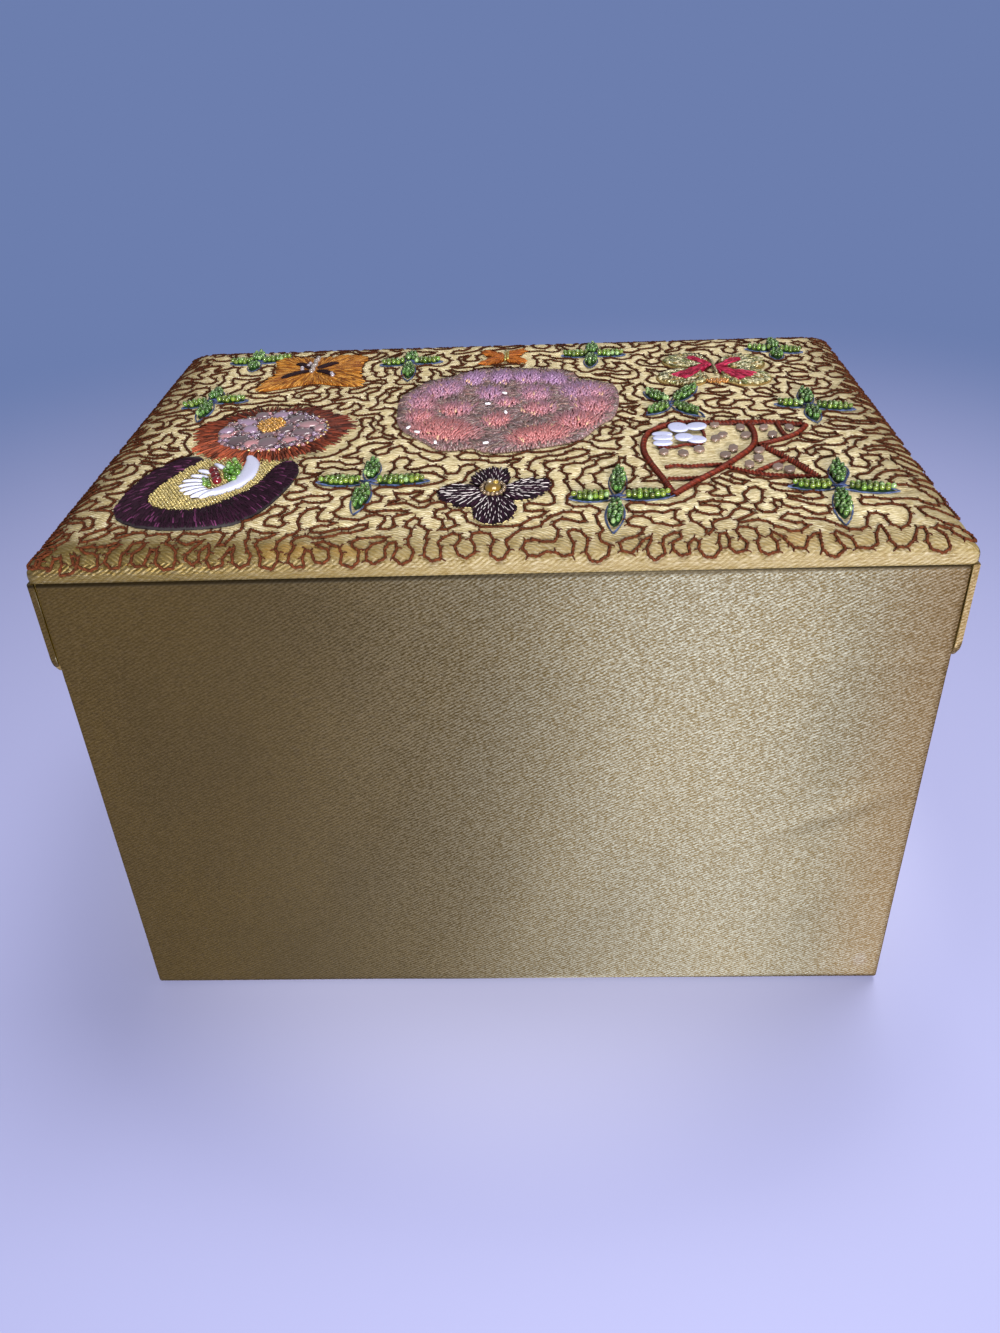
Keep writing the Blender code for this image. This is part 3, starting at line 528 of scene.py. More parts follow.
def finish_piece(name, shape, finishes, slot, *replaced, body="lid"):
    """Hang a heap or a mesh in the scene as a piece that rides on a body."""
    mesh = shape.mesh(name) if isinstance(shape, Heap) else shape
    piece = bpy.data.objects.new(name, mesh)
    bpy.context.scene.collection.objects.link(piece)
    for each in finishes if isinstance(finishes, list) else [finishes]:
        mesh.materials.append(each)
    if body:
        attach(piece, body)
    if replaced:
        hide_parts(*replaced)
    return piece


def cloth_map(mesh):
    """Lay the cloth on a mesh, each face from the side that it looks to, in millimetres."""
    def read(items, word, width, kind):
        values = np.empty(len(items) * width, kind)
        items.foreach_get(word, values)
        return values.reshape(-1, width) if width > 1 else values

    points = read(mesh.vertices, "co", 3, np.float32)[read(mesh.loops, "vertex_index", 1, np.int32)] * 1000
    sizes = read(mesh.polygons, "loop_total", 1, np.int32)
    facing = np.repeat(np.abs(read(mesh.polygons, "normal", 3, np.float32)).argmax(1), sizes)
    flat = np.where((facing == 0)[:, None], points[:, [1, 2]], points[:, [0, 1]])
    flat = np.where((facing == 1)[:, None], points[:, [0, 2]], flat)
    layer = mesh.uv_layers.new(name="cloth")
    layer.data.foreach_set("uv", flat.astype(np.float32).ravel())


def corners_cut(points, ahead):
    """Two places on the way from each point to the next, a quarter of it from either end."""
    return np.stack([points * 0.75 + ahead * 0.25, points * 0.25 + ahead * 0.75], 1).reshape(-1, 2)


def points_at(places, run, line):
    """Points of a line at places on its run."""
    return joined(*(np.interp(places, run, part) for part in line.T))


def smooth_line(points, step, closed=False, rounds=2):
    """A line through or near points, rounded and then divided evenly."""
    points = np.asarray(points, float)
    for _ in range(rounds):
        if closed:
            points = corners_cut(points, np.roll(points, -1, 0))
        else:
            points = np.concatenate([points[:1], corners_cut(points[:-1], points[1:])[1:-1], points[-1:]])
    if closed:
        points = np.concatenate([points, points[:1]])
    run = run_along(points)
    places = np.linspace(0, run[-1], max(int(run[-1] / step), 3) + 1)
    return points_at(places[:-1] if closed else places, run, points)


def oval(centre, reach, count=48, swell=1.0):
    """Places round an oval. Swell is a factor, or one for each place."""
    angles = np.arange(count) * math.tau / count
    return centre + joined(reach[0] * swell * np.cos(angles), reach[1] * swell * np.sin(angles))


def inside(outline, plan):
    """Which places lie inside an outline."""
    x, y = plan[..., 0], plan[..., 1]
    hit = np.zeros(x.shape, bool)
    for (ax, ay), (bx, by) in zip(outline, np.roll(outline, -1, 0)):
        if ay != by:
            crosses = ((ay > y) != (by > y)) & (x < (bx - ax) * (y - ay) / (by - ay) + ax)
            hit ^= crosses
    return hit


def near_line(line, plan):
    """Distance of places from a line of points."""
    best = np.full(plan.shape[:-1], 1e9)
    for a, b in zip(line[:-1], line[1:]):
        along = b - a
        share = np.clip(((plan - a) @ along) / max(along @ along, 1e-9), 0, 1)
        best = np.minimum(best, np.linalg.norm(plan - (a + share[..., None] * along), axis=-1))
    return best


def rows_in(outline, spacing, jitter=0.25):
    """Places packed in staggered rows inside an outline."""
    middle = outline.mean(0)
    reach = np.abs(outline - middle).max() * 1.5
    steps = np.arange(-reach, reach, spacing)
    a, b = np.meshgrid(steps, steps * ROW_GAP)
    a = a + (np.round(b / (spacing * ROW_GAP)) % 2) * spacing / 2
    plan = middle + joined(a, b).reshape(-1, 2)
    plan = plan + rng.uniform(-jitter, jitter, plan.shape) * spacing
    return plan[inside(outline, plan)]


def varied(colour, count, spread=0.12):
    """One colour as many, each a little lighter or darker."""
    return np.clip(colour * rng.uniform(1 - spread, 1 + spread, (count, 1)), 0, 1)


def picked(colours, count):
    """A colour for each of so many, each one of a few."""
    return colours[rng.integers(0, len(colours), count)]


# The design on the lid

PEONY = (
    (-14.7, 153.6), (-5.6, 158.2), (2.0, 156.7), (11.1, 156.7), (20.9, 154.4), (27.0, 150.6), (28.5, 142.3),
    (31.5, 140.0), (39.8, 137.0), (43.3, 131.7), (43.3, 118.0), (42.1, 107.4), (39.8, 96.8), (35.3, 92.3),
    (31.5, 84.7), (27.7, 77.9), (20.2, 74.1), (11.1, 71.1), (3.5, 69.2), (-2.6, 68.0), (-7.1, 71.1),
    (-9.4, 74.1), (-16.2, 71.1), (-21.5, 72.2), (-25.3, 77.9), (-30.6, 84.7), (-35.2, 90.8), (-37.4, 98.3),
    (-37.8, 107.4), (-38.9, 118.0), (-37.4, 128.6), (-33.6, 135.5), (-30.6, 142.3), (-26.1, 146.1),
    (-20.0, 148.3), (-17.0, 151.4))
# Fill of each petal: its middle, its reach across and away, and its turn in degrees
PEONY_PETALS = (
    (-23.0, 133.2, 6.5, 9.0, -25), (-11.7, 145.5, 4.6, 7.5, -8), (-0.7, 146.0, 4.2, 7.5, 0),
    (9.5, 144.8, 5.6, 7.5, 5), (20.0, 142.5, 4.6, 7.0, 20), (31.5, 127.0, 8.0, 9.5, 40),
    (33.5, 111.5, 6.5, 9.5, 0), (27.5, 96.5, 7.0, 8.0, -35), (14.0, 84.0, 11.5, 6.5, 25),
    (-20.5, 90.5, 12.0, 8.5, -38), (-30.5, 119.5, 5.0, 9.5, 10), (-29.8, 104.5, 5.0, 6.5, 5),
    (-4.8, 127.0, 4.6, 6.5, 0), (12.6, 125.6, 5.2, 8.0, 0), (14.0, 109.0, 5.6, 6.0, -15),
    (-1.8, 98.3, 5.0, 6.0, 0), (-17.0, 110.5, 6.2, 6.2, 0), (2.0, 116.5, 4.4, 4.0, 0))
# Places of the white bugles that stand for glints on the peony: painted highlights
PEONY_GLINTS = (
    (0.8, 124.8), (-5.2, 113.5), (1.6, 104.4), (-32.9, 91.9), (-29.5, 87.3), (-22.3, 77.5), (-4.8, 75.6))
ROSETTE = (-82.2, 92.3)
CRESCENT_OUT = (
    (-111.4, 70.5), (-115.6, 64.4), (-118.6, 58.3), (-120.9, 49.2), (-122.0, 40.2), (-121.7, 31.1),
    (-120.0, 26.0), (-115.6, 22.4), (-110.3, 19.5), (-104.0, 17.8), (-95.2, 17.4), (-86.8, 18.0),
    (-81.5, 19.7), (-77.0, 23.5), (-73.9, 28.8), (-71.3, 35.6), (-69.4, 42.4), (-67.9, 49.2), (-67.1, 56.8),
    (-67.9, 61.5), (-70.2, 64.4))
CRESCENT_IN = (
    (-102.8, 69.5), (-104.0, 66.7), (-106.9, 62.1), (-109.4, 57.6), (-111.2, 52.3), (-113.0, 47.5),
    (-113.8, 41.7), (-113.0, 37.1), (-110.8, 33.3), (-107.3, 31.0), (-102.0, 29.5), (-97.4, 29.4),
    (-92.1, 31.1), (-87.6, 34.8), (-83.8, 39.4), (-80.8, 43.2), (-78.4, 48.5), (-77.2, 53.8), (-76.3, 58.6),
    (-75.4, 62.3), (-73.4, 64.0))
# The middle line of the white wing
WING = (
    (-86.3, 69.6), (-84.9, 66.6), (-84.3, 63.0), (-84.0, 59.0), (-84.2, 54.5), (-85.3, 50.0), (-87.6, 46.2),
    (-90.6, 43.4), (-94.4, 41.6), (-97.4, 40.6))
# Half its width at each of these places
WING_WIDTHS = (1.6, 2.6, 3.1, 3.3, 3.3, 3.2, 3.1, 2.8, 2.2, 1.2)
FEATHERS = (
    ((-97.2, 64.4), (-93.0, 60.4)), ((-101.5, 59.4), (-96.6, 57.0)), ((-102.9, 55.2), (-97.2, 53.6)),
    ((-104.6, 51.0), (-98.2, 50.8)), ((-104.9, 47.2), (-97.8, 48.4)), ((-103.7, 43.9), (-96.6, 46.2)),
    ((-101.6, 41.0), (-95.4, 44.6)), ((-98.8, 38.8), (-93.6, 43.2)), ((-95.6, 37.9), (-91.8, 42.6)))
# Each lens: its middle, its reach across and away, its turn in degrees and its shade
ROSETTE_LENSES = (
    (-82.7, 107.6, 3.6, 4.8, 0, 1), (-94.4, 101.6, 5.4, 4.0, -35, 1), (-75.0, 103.4, 5.0, 3.8, 40, 0),
    (-69.6, 96.4, 4.6, 4.2, 10, 2), (-70.6, 88.6, 4.8, 3.8, -15, 0), (-94.0, 83.4, 5.6, 5.2, 20, 3),
    (-82.2, 80.2, 4.4, 6.0, 5, 0), (-100.6, 93.2, 3.4, 4.2, -20, 1), (-100.2, 87.4, 3.0, 3.6, 0, 4),
    (-74.2, 81.8, 3.8, 3.4, -30, 4), (-88.4, 79.4, 3.2, 3.8, 15, 4), (-90.0, 108.2, 3.2, 3.8, 15, 0),
    (-87.2, 101.0, 3.4, 4.6, 10, 0), (-77.4, 92.0, 3.2, 4.6, -20, 3), (-91.6, 93.6, 3.4, 5.0, 15, 1),
    (-84.0, 87.0, 3.4, 3.8, 0, 0), (-64.8, 92.4, 2.6, 4.0, 0, 2))
FISH_BODY = (
    (52.6, 84.1), (59.4, 90.2), (67.7, 92.0), (76.8, 91.2), (87.8, 91.1), (88.6, 79.5), (87.0, 71.2),
    (83.6, 65.2), (77.6, 57.6), (73.0, 51.5), (63.2, 41.7), (55.4, 32.6), (53.3, 43.9), (51.4, 51.5),
    (49.5, 60.6), (48.8, 68.2), (49.9, 77.3))
# Width and line of each cord
FISH_CORDS = (
    (2.0, ((55.4, 32.6), (53.3, 43.9), (51.4, 51.5), (49.5, 60.6), (48.8, 68.2), (49.9, 77.3), (52.6, 84.1),
           (59.4, 90.2), (67.7, 92.0), (76.8, 91.0), (87.4, 91.0), (98.0, 91.2), (107.9, 87.9))),
    (2.0, ((55.4, 32.6), (63.2, 41.7), (73.0, 51.5), (77.6, 57.6), (83.6, 65.2), (87.0, 71.2), (88.6, 79.5),
           (88.6, 86.4), (87.8, 90.6))),
    (1.8, ((107.9, 87.9), (105.6, 83.3), (101.1, 78.0), (94.2, 73.5), (88.2, 70.5))),
    (1.5, ((98.0, 90.4), (98.2, 86.0), (98.4, 82.0), (99.3, 77.6))),
    (2.1, ((89.6, 69.4), (93.0, 63.6), (96.6, 57.0), (99.5, 50.6), (102.4, 43.6))),
    (1.5, ((102.0, 44.0), (94.2, 44.7), (87.4, 45.8), (82.9, 47.7), (77.6, 50.8), (74.6, 53.6))),
    (1.5, ((94.6, 57.6), (91.4, 55.0), (87.2, 51.6), (83.4, 48.3))),
    (1.3, ((54.8, 53.0), (58.6, 54.6), (62.4, 53.2), (67.7, 54.2), (74.5, 54.6))),
    (1.3, ((54.6, 44.3), (60.2, 44.0), (65.8, 44.9))),
    (1.0, ((60.8, 90.0), (66.0, 88.8), (70.6, 87.0), (71.4, 81.6), (70.6, 75.4), (68.2, 70.6), (63.4, 72.2),
           (59.6, 69.2), (54.2, 69.6))))
# Each shell: its middle, its reach across and away, and its turn in degrees
SHELLS = (
    (62.6, 85.2, 3.3, 4.2, 10), (69.1, 86.0, 3.5, 2.9, 25), (63.6, 76.2, 3.0, 2.9, 0),
    (67.6, 74.4, 3.2, 2.8, -15), (56.4, 79.4, 3.3, 2.0, 0), (56.2, 75.6, 3.2, 2.0, 0),
    (55.8, 71.6, 3.1, 1.9, 0))
SCALES = (
    (76.0, 89.4), (74.5, 76.5), (77.4, 79.8), (84.6, 86.4), (85.3, 79.2), (92.7, 86.0), (94.6, 79.6),
    (101.6, 86.0), (55.6, 65.6), (62.0, 64.2), (67.7, 67.4), (75.7, 62.3), (79.2, 67.8), (87.6, 65.8),
    (86.2, 59.2), (82.4, 54.4), (91.2, 52.2), (94.6, 50.0))
ORANGE_WINGS = (
    (-98.3, 179.2), (-90.8, 180.8), (-80.0, 177.3), (-66.7, 181.7), (-59.2, 177.5), (-63.3, 162.5),
    (-55.8, 140.8), (-67.0, 143.2), (-76.7, 147.7), (-86.0, 143.6), (-99.2, 138.3), (-96.5, 150.0),
    (-92.5, 161.7))
ORANGE_MIDDLE = (-79.3, 162.0)
ORANGE_BARS = ((-88.0, 171.5), (-70.4, 170.6), (-91.6, 152.0), (-69.4, 153.4))
# Each wing of the beaded butterfly: its middle, and its reach across and away
LOBES = ((74.6, 160.8, 9.5, 9.0), (97.0, 158.4, 9.0, 9.5), (70.8, 140.4, 10.0, 9.5), (95.6, 140.2, 9.8, 9.5))
# Each stitched wedge on them: its start, its end and its half width there
WEDGES = (
    (82.5, 154.0, 70.0, 139.6, 3.4), (84.8, 149.6, 95.0, 139.0, 5.0), (83.0, 153.0, 77.0, 162.4, 1.8),
    (86.0, 151.0, 94.4, 159.4, 2.2))
SMALL_FLOWER = ((6.8, 166.0), (6.6, 181.4), (-7.6, 180.0), (-8.0, 164.6))
PANSY_MIDDLE = (-1.4, 38.3)
PANSY_PETALS = (
    ((-7.8, 42.5), (-7.9, 48.3), (-4.5, 53.3), (-0.3, 55.0), (3.0, 52.5), (3.6, 47.5), (3.0, 42.5),
     (-2.0, 38.5)),
    ((-7.0, 41.0), (-12.0, 42.7), (-16.6, 41.0), (-18.3, 36.7), (-16.2, 31.7), (-11.2, 28.3), (-7.0, 27.0),
     (-2.5, 34.0)),
    ((3.4, 41.7), (8.8, 45.2), (13.0, 46.3), (16.3, 42.5), (14.3, 35.8), (10.5, 32.3), (4.7, 31.5),
     (1.0, 36.0)),
    ((-7.0, 26.0), (-6.4, 20.0), (-3.7, 16.5), (1.3, 16.3), (4.9, 20.6), (6.0, 29.0), (-0.3, 35.0),
     (-4.5, 31.0)))
# Sprigs: the middle, then the tips of the leaves that point right, away, left and near
SPRIGS = (
    ((-107.0, 177.2), (-92.0, 182.4), (-108.2, 191.8), (-118.6, 178.4), (-106.8, 166.0)),
    ((-40.2, 170.2), (-26.6, 170.8), (-39.6, 182.2), (-52.4, 168.4), (-39.0, 146.6)),
    ((36.8, 173.6), (50.4, 173.4), (37.2, 188.4), (24.2, 173.8), (34.8, 156.8)),
    ((113.6, 174.4), (124.2, 171.6), (113.6, 187.0), (101.8, 177.2), (112.4, 161.8)),
    ((-114.6, 129.6), (-100.6, 129.4), (-114.2, 142.2), (-125.0, 124.0), (-115.0, 108.8)),
    ((62.8, 111.2), (74.8, 130.0), (54.4, 125.0), (53.4, 101.0), (73.4, 98.2)),
    ((113.2, 107.6), (129.0, 104.0), (114.4, 125.0), (101.4, 109.8), (112.6, 91.4)),
    ((-42.4, 47.1), (-23.0, 47.4), (-42.2, 65.2), (-59.4, 48.6), (-44.4, 25.0)),
    ((37.4, 31.8), (55.0, 32.6), (39.6, 53.4), (22.6, 32.0), (35.0, 9.6)),
    ((107.4, 36.6), (124.8, 33.2), (110.8, 56.0), (92.2, 37.8), (103.4, 11.4)))
SPRIG_NAMES = (
    "sprig_front_right", "sprig_front_mid_right", "sprig_front_mid_left", "sprig_front_left", "sprig_right",
    "sprig_mid_left", "sprig_left", "sprig_rear_mid_right", "sprig_rear_mid_left", "sprig_rear_left")
# How far leaves reach from their sprig's middle at most
LEAF_REACH = 26.0
STRAY_THREAD = ((107.8, 37.6), (110.6, 42.0), (113.0, 46.6), (113.2, 50.6), (111.6, 54.8))


def taken(plan, margin):
    """Which places of the lid the motifs cover, with a margin round them."""
    hit = np.zeros(plan.shape[:-1], bool)
    crescent = CRESCENT_OUT + ((-86.0, 70.0), (-100.0, 74.0))
    tail_far = ((87.8, 91.0), (107.9, 87.9), (101.1, 78.0), (88.2, 70.5))
    tail_near = ((89.6, 69.4), (102.4, 43.6), (82.9, 46.7), (75.0, 54.0))
    rounds = [oval(ROSETTE, (29.5, 27.6), 30), *(oval(lobe[:2], lobe[2:], 14) for lobe in LOBES)]
    flower = oval((-0.4, 173.0), (9.5, 9.5), 16)
    outlines = (PEONY, crescent, FISH_BODY, tail_far, tail_near, ORANGE_WINGS, *rounds, *PANSY_PETALS, flower)
    for shape in map(np.asarray, outlines):
        near = (np.abs(plan - (shape.max(0) + shape.min(0)) / 2) < (np.ptp(shape, 0) / 2 + margin)).all(-1)
        line = np.concatenate([shape, shape[:1]])
        hit[near] |= inside(shape, plan[near]) | (near_line(line, plan[near]) < margin)
    for middle, *tips in SPRIGS:
        near = (np.abs(plan - middle) < LEAF_REACH + margin).all(-1)
        for tip in tips:
            hit[near] |= near_line(np.array((middle, tip)), plan[near]) < margin + 2.2
    return hit


# Couched cord

# Millimetres: between the cord's runs, half the laid cloth's width, and how far the satin swells at most
CORD_SPACING = 4.7
CLOTH_X = 141.6
SWELL = 0.8


def rolled(flat):
    """Places on the plan, from places on the cloth laid flat over the lid and its rounded edge."""
    arc = np.linspace(0, math.pi / 2, 60)
    deep, tall = PAD_ROUND / MM, PAD_RISE / MM
    inward = deep * (1 - np.cos(arc))
    length = run_along(joined(deep * np.cos(arc), tall * np.sin(arc)))
    over = length[-1] - inward[-1]
    half = np.array((HALF_X, HALF_Y)) / MM
    offset = flat - (0.0, half[1])
    inset = half + over - np.abs(offset)
    inset = np.where(inset < length[-1], np.interp(inset, length, inward), inset - over)
    return np.sign(offset) * (half - inset) + (0.0, half[1])


def plan_grid(low, high, step):
    """A grid of places over the cloth laid flat, from one corner to the other."""
    return joined(*np.meshgrid(*(np.arange(a, b, step) for a, b in zip(low, high)), indexing="ij"))


def cells_of(places, grid, step, rim=0):
    """The cells of a grid that places fall in."""
    found = np.round((places - grid[0, 0]) / step).astype(int)
    return tuple(found.clip(rim, np.array(grid.shape[:2]) - 1 - rim).T)


def middles(values):
    """The middle between the two neighbours of each row."""
    return (np.roll(values, 1, 0) + np.roll(values, -1, 0)) / 2


def settle(free, places, rounds=30):
    """Even places over the free cells, and the cell that each one holds."""
    for _ in range(rounds):
        away = (free ** 2).sum(1)[:, None] + (places ** 2).sum(1)[None] - 2 * free @ places.T
        owner = away.argmin(1)
        count = np.bincount(owner, minlength=len(places))[:, None]
        sums = joined(*(np.bincount(owner, part, len(places)) for part in free.T))
        better = np.where(count > 0, sums / np.maximum(count, 1), places)
        places = mixed(places, better, 1.6)
    return places, owner


def tree_over(places, label):
    """A random tree that joins places whose cells meet: for each place, its neighbours by their heading."""
    pairs = set()
    for one, two in ((label[:-1], label[1:]), (label[:, :-1], label[:, 1:])):
        meets = (one != two) & (one >= 0) & (two >= 0)
        pairs |= {(min(a, b), max(a, b)) for a, b in zip(one[meets].tolist(), two[meets].tolist())}
    pairs = np.array(sorted(pairs))
    lengths = np.linalg.norm(places[pairs[:, 0]] - places[pairs[:, 1]], axis=1)
    rim = ((CLOTH_X, 100.8) - np.abs(places - (0.0, 100.0))).min(1) < 7.0
    order = np.argsort(lengths * rng.uniform(0.35, 1.0, len(pairs)) * np.where(rim[pairs].all(1), 2.5, 1.0))
    group = list(range(len(places)))

    def root(item):
        while group[item] != item:
            group[item] = group[group[item]]
            item = group[item]
        return item

    links = {}
    for index in order:
        a, b = pairs[index].tolist()
        if root(a) != root(b) and lengths[index] < CORD_SPACING * 3.8:
            group[root(a)] = root(b)
            links.setdefault(a, []).append(b)
            links.setdefault(b, []).append(a)
    return {item: [others[index] for index in np.argsort(heading_of(places[others] - places[item]))]
            for item, others in links.items()}


def cord_lines():
    """Closed lines that wander over the free ground, each one round a random tree of places."""
    step = 1.4
    grid = plan_grid((-CLOTH_X, -1.0), (CLOTH_X + 0.1, 201.1), step)
    open_cells = ~taken(rolled(grid), 0.8)
    free = grid[open_cells]
    number = int(len(free) * step * step / (CORD_SPACING * 2) ** 2 * 1.1)
    places, owner = settle(free, free[rng.permutation(len(free))[:number]])
    label = np.full(open_cells.shape, -1)
    label[open_cells] = owner
    rings = tree_over(places, label)
    lines, used = [], set()
    for start in sorted(rings):
        for first in rings[start]:
            line, here, there = [], start, first
            while (here, there) not in used:
                used.add((here, there))
                onward = rings[there][rings[there].index(here) - 1]
                back, out = (float(heading_of(places[other] - places[there])) for other in (here, onward))
                wedge = (back - out) % math.tau or math.tau
                right = np.array((math.sin(back), -math.cos(back)))
                line.append((places[here] + places[there]) / 2 + right * 1.45 * rng.uniform(0.8, 1.3))
                reach = 3.95 * rng.uniform(0.85, 1.1)
                corners, margin = 1, wedge / 2
                if wedge >= 1.9:
                    corners, margin = max(2, int(round(wedge / 1.15))), 0.55
                for angle in np.linspace(back - margin, back - wedge + margin, corners):
                    away = reach * (1.0 if corners > 1 else 0.8)
                    line.append(places[there] + away * np.array((math.cos(angle), math.sin(angle))))
                here, there = there, onward
            if len(line) > 5:
                lines.append(np.array(line))
    return lines


def relaxed(line, blocked, rounds=3):
    """A closed line as a hand would lay it: its runs keep apart, and its length stays."""
    room, rest = 2.8, 2.0
    line = smooth_line(line, 2.0, closed=True)
    count = len(line)
    square = (line ** 2).sum(1)
    apart = square[:, None] + square[None] - 2 * line @ line.T
    first, second = np.nonzero(np.triu(apart < (room + 2.5) ** 2, 3))
    keep = second - first < count - 2
    first, second = first[keep], second[keep]
    for _ in range(rounds):
        offset = line[first] - line[second]
        gap = np.maximum(np.linalg.norm(offset, axis=1, keepdims=True), 0.01)
        offset *= np.maximum(room - gap, 0.0) / (room * gap)
        push = [np.bincount(first, part, count) - np.bincount(second, part, count) for part in offset.T]
        push = joined(*push)
        push *= np.minimum(0.8, 0.7 / np.maximum(np.linalg.norm(push, axis=1, keepdims=True), 1e-6))
        edge = np.roll(line, -1, 0) - line
        length = np.maximum(np.linalg.norm(edge, axis=1, keepdims=True), 1e-6)
        pull = edge * (length - rest) / length * 0.45
        moved = line + push + pull - np.roll(pull, 1, 0)
        moved = mixed(moved, middles(moved), 0.05)
        line = np.where(blocked(moved)[:, None], line, moved)
    return line


def laid_cords():
    """Each cord on the flat cloth: where its stitches hold it, which way they pull, and the line it takes."""
    step = 0.8
    grid = plan_grid((-143.2, -2.4), (143.3, 202.5), step)
    plan = rolled(grid)
    shut = taken(plan, 1.2) | (pad_inset(*part_xy(plan)) < 0.0004)

    def blocked(points):
        wave = 0.8 * np.sin(points[:, ::-1] * 0.57) + 0.5 * np.sin(points[:, ::-1] * 0.23 + 1.0)
        past = np.abs(points - (0.0, 100.0)) > np.array((139.2, 99.0)) + wave
        return past.any(1) | shut[cells_of(points, grid, step)]

    cords = []
    for line in cord_lines():
        held = smooth_line(relaxed(line, blocked), 2.8, closed=True, rounds=1)
        held = held + rng.normal(0, 0.25, held.shape)
        out = unit(held - middles(held) + rng.normal(0, 0.12, held.shape))
        slack = (held + np.roll(held, -1, 0)) / 2
        held = held + out * 0.35
        line = smooth_line(np.stack([held, slack], 1).reshape(-1, 2), 0.7, closed=True, rounds=1)
        cords.append((held, out, line))
    return cords


CORDS = laid_cords()


def pucker_map():
    """How far the satin swells between the cords and motifs that hold it down, in millimetres, how strongly
    the stitches pull at its threads, and where cords lie."""
    step = 0.8
    grid = plan_grid((-CLOTH_X, -0.8), (CLOTH_X + 0.1, 201.0), step)
    held, pull, close = taken(grid, 0.4), np.zeros(grid.shape[:2]), np.zeros(grid.shape[:2])
    for stops, out, line in CORDS:
        under = cells_of(rolled(line), grid, step, 1)
        held[under] = True
        close[under] = 1.0
        for reach in (0.0, 0.8, 1.6):
            pull[cells_of(rolled(stops + out * reach), grid, step, 1)] = 1.0
    held[:2], held[-2:], held[:, :2], held[:, -2:] = True, True, True, True
    swell = np.zeros(held.shape)
    push = 0.045 * (0.7 + 0.6 * rng.random(held.shape))
    for turn in range(70):
        swell = np.where(held, 0.0, (middles(swell) + middles(swell.T).T) / 2 + push)
        if turn < 2:
            pull = np.maximum(pull, middles(pull) * 0.9)
    return grid[0, 0], step, np.stack([SWELL * MM * np.tanh(swell / SWELL), pull, close], -1)


PUCKER = pucker_map()


def puckered(x, y):
    """Height of the satin's own face in metres, the pull of the stitches, and where cords lie."""
    first, step, maps = PUCKER
    places = (joined(-x / MM, (HALF_Y - y) / MM) - first) / step
    places = np.clip(places, 0, np.array(maps.shape[:2]) - 1.001)
    cell = places.astype(int)
    (s, t), (i, j) = np.moveaxis(places - cell, -1, 0)[..., None], np.moveaxis(cell, -1, 0)
    near, far = mixed(maps[i, j], maps[i + 1, j], s), mixed(maps[i, j + 1], maps[i + 1, j + 1], s)
    return np.moveaxis(mixed(near, far, t), -1, 0)


def off_corners(plan, room=1.4):
    """Places on the plan, drawn in where they come near the lid's rounded corners."""
    offset = plan - (0.0, HALF_Y / MM)
    in_corner = (np.abs(offset) > (HALF_X / MM - 7.0, HALF_Y / MM - 7.0)).all(1)
    short = np.where(in_corner, np.maximum(room - pad_inset(*part_xy(plan)) / MM, 0.0), 0.0)
    return plan - np.sign(offset) * short[:, None] * 0.75


def build_cords():
    heap, stitches = Heap(), Heap()
    dark, rust = linears((62, 30, 12), (78, 38, 18))
    for held, out, line in CORDS:
        plan = off_corners(rolled(line))
        near = np.clip(1 - plan[:, 1:] / 55, 0, 1)
        colour = mixed(dark, rust, near) * rng.uniform(0.7, 1.3, (len(plan), 1))
        # Painted shade: one strand is painted darker and the other lighter, so the twist shows as shade would
        # show it
        for start, shade in ((0.0, 0.8), (math.pi, 1.15)):
            tube(heap, plan, 0.35, 0.4, colour * shade, flat=0.9, closed=True, twist=(0.23, 2.3, start))
        heading = heading_of(out) + rng.normal(0, 0.4, len(held))
        way = joined(np.cos(heading), np.sin(heading))
        place = off_corners(rolled(held + way * rng.uniform(0.3, 0.75, (len(held), 1))))
        lean = heading_of(rolled(held + way * 0.05) - rolled(held - way * 0.05))
        keep = (place[:, 1] > 0.9) & (np.abs(place[:, 0]) < HALF_X / MM - 0.9)
        keep &= rng.random(len(held)) < 0.85
        count = keep.sum()
        size = joined(rng.uniform(0.7, 1.15, count), 0.22, 0.22)
        scatter(stitches, STRAND, place[keep], lean[keep], 0.25, size, (66, 29, 13), 0.25, arch=0.5)
    finish_piece("couched_cord", heap, COUCHED, "russet_thread")
    finish_piece("couching_stitches", stitches, COUCHED, "russet_thread")


# Satin


def lid_grid():
    """Points, faces and tints of the satin over the pad, with the loop of its edge. The tints carry a painted
    shade along the cords and the pull of the stitches.
    """
    def steps(half):
        rounding = PAD_ROUND * (1 - np.cos(np.linspace(0, math.pi / 2, 10)))[:-1]
        flat = half - PAD_ROUND
        flat = np.linspace(-flat, flat, int(flat * 2 / 0.00098) + 1)
        return np.concatenate([-half + rounding, flat, (half - rounding)[::-1]])

    x, y = np.meshgrid(steps(HALF_X), steps(HALF_Y), indexing="ij")
    corner = np.where(y > 0, REAR_CORNER, FRONT_CORNER)
    a = np.clip((np.abs(x) - HALF_X + corner) / corner, 0, 1)
    b = np.clip((np.abs(y) - HALF_Y + corner) / corner, 0, 1)
    turned = (a > 0) & (b > 0)
    x = np.where(turned, np.sign(x) * (HALF_X - corner + corner * a * np.sqrt(1 - b * b / 2)), x)
    y = np.where(turned, np.sign(y) * (HALF_Y - corner + corner * b * np.sqrt(1 - a * a / 2)), y)
    swell, pull, close = puckered(x, y)
    points = joined(x, y, pad_height(x, y) + swell * np.clip(pad_inset(x, y) / 0.002, 0, 1))
    number = numbered(*x.shape)
    loop = np.concatenate([number[:, 0], number[-1, 1:], number[-2::-1, -1], number[0, -2:0:-1]])
    # Painted shade: the tint is darker where cords lie
    tints = joined(1 - 0.5 * np.clip(close, 0, 1), pull, 0.0).reshape(-1, 3)
    return points.reshape(-1, 3), quads_over(number)[:, OTHER_WAY], loop, tints


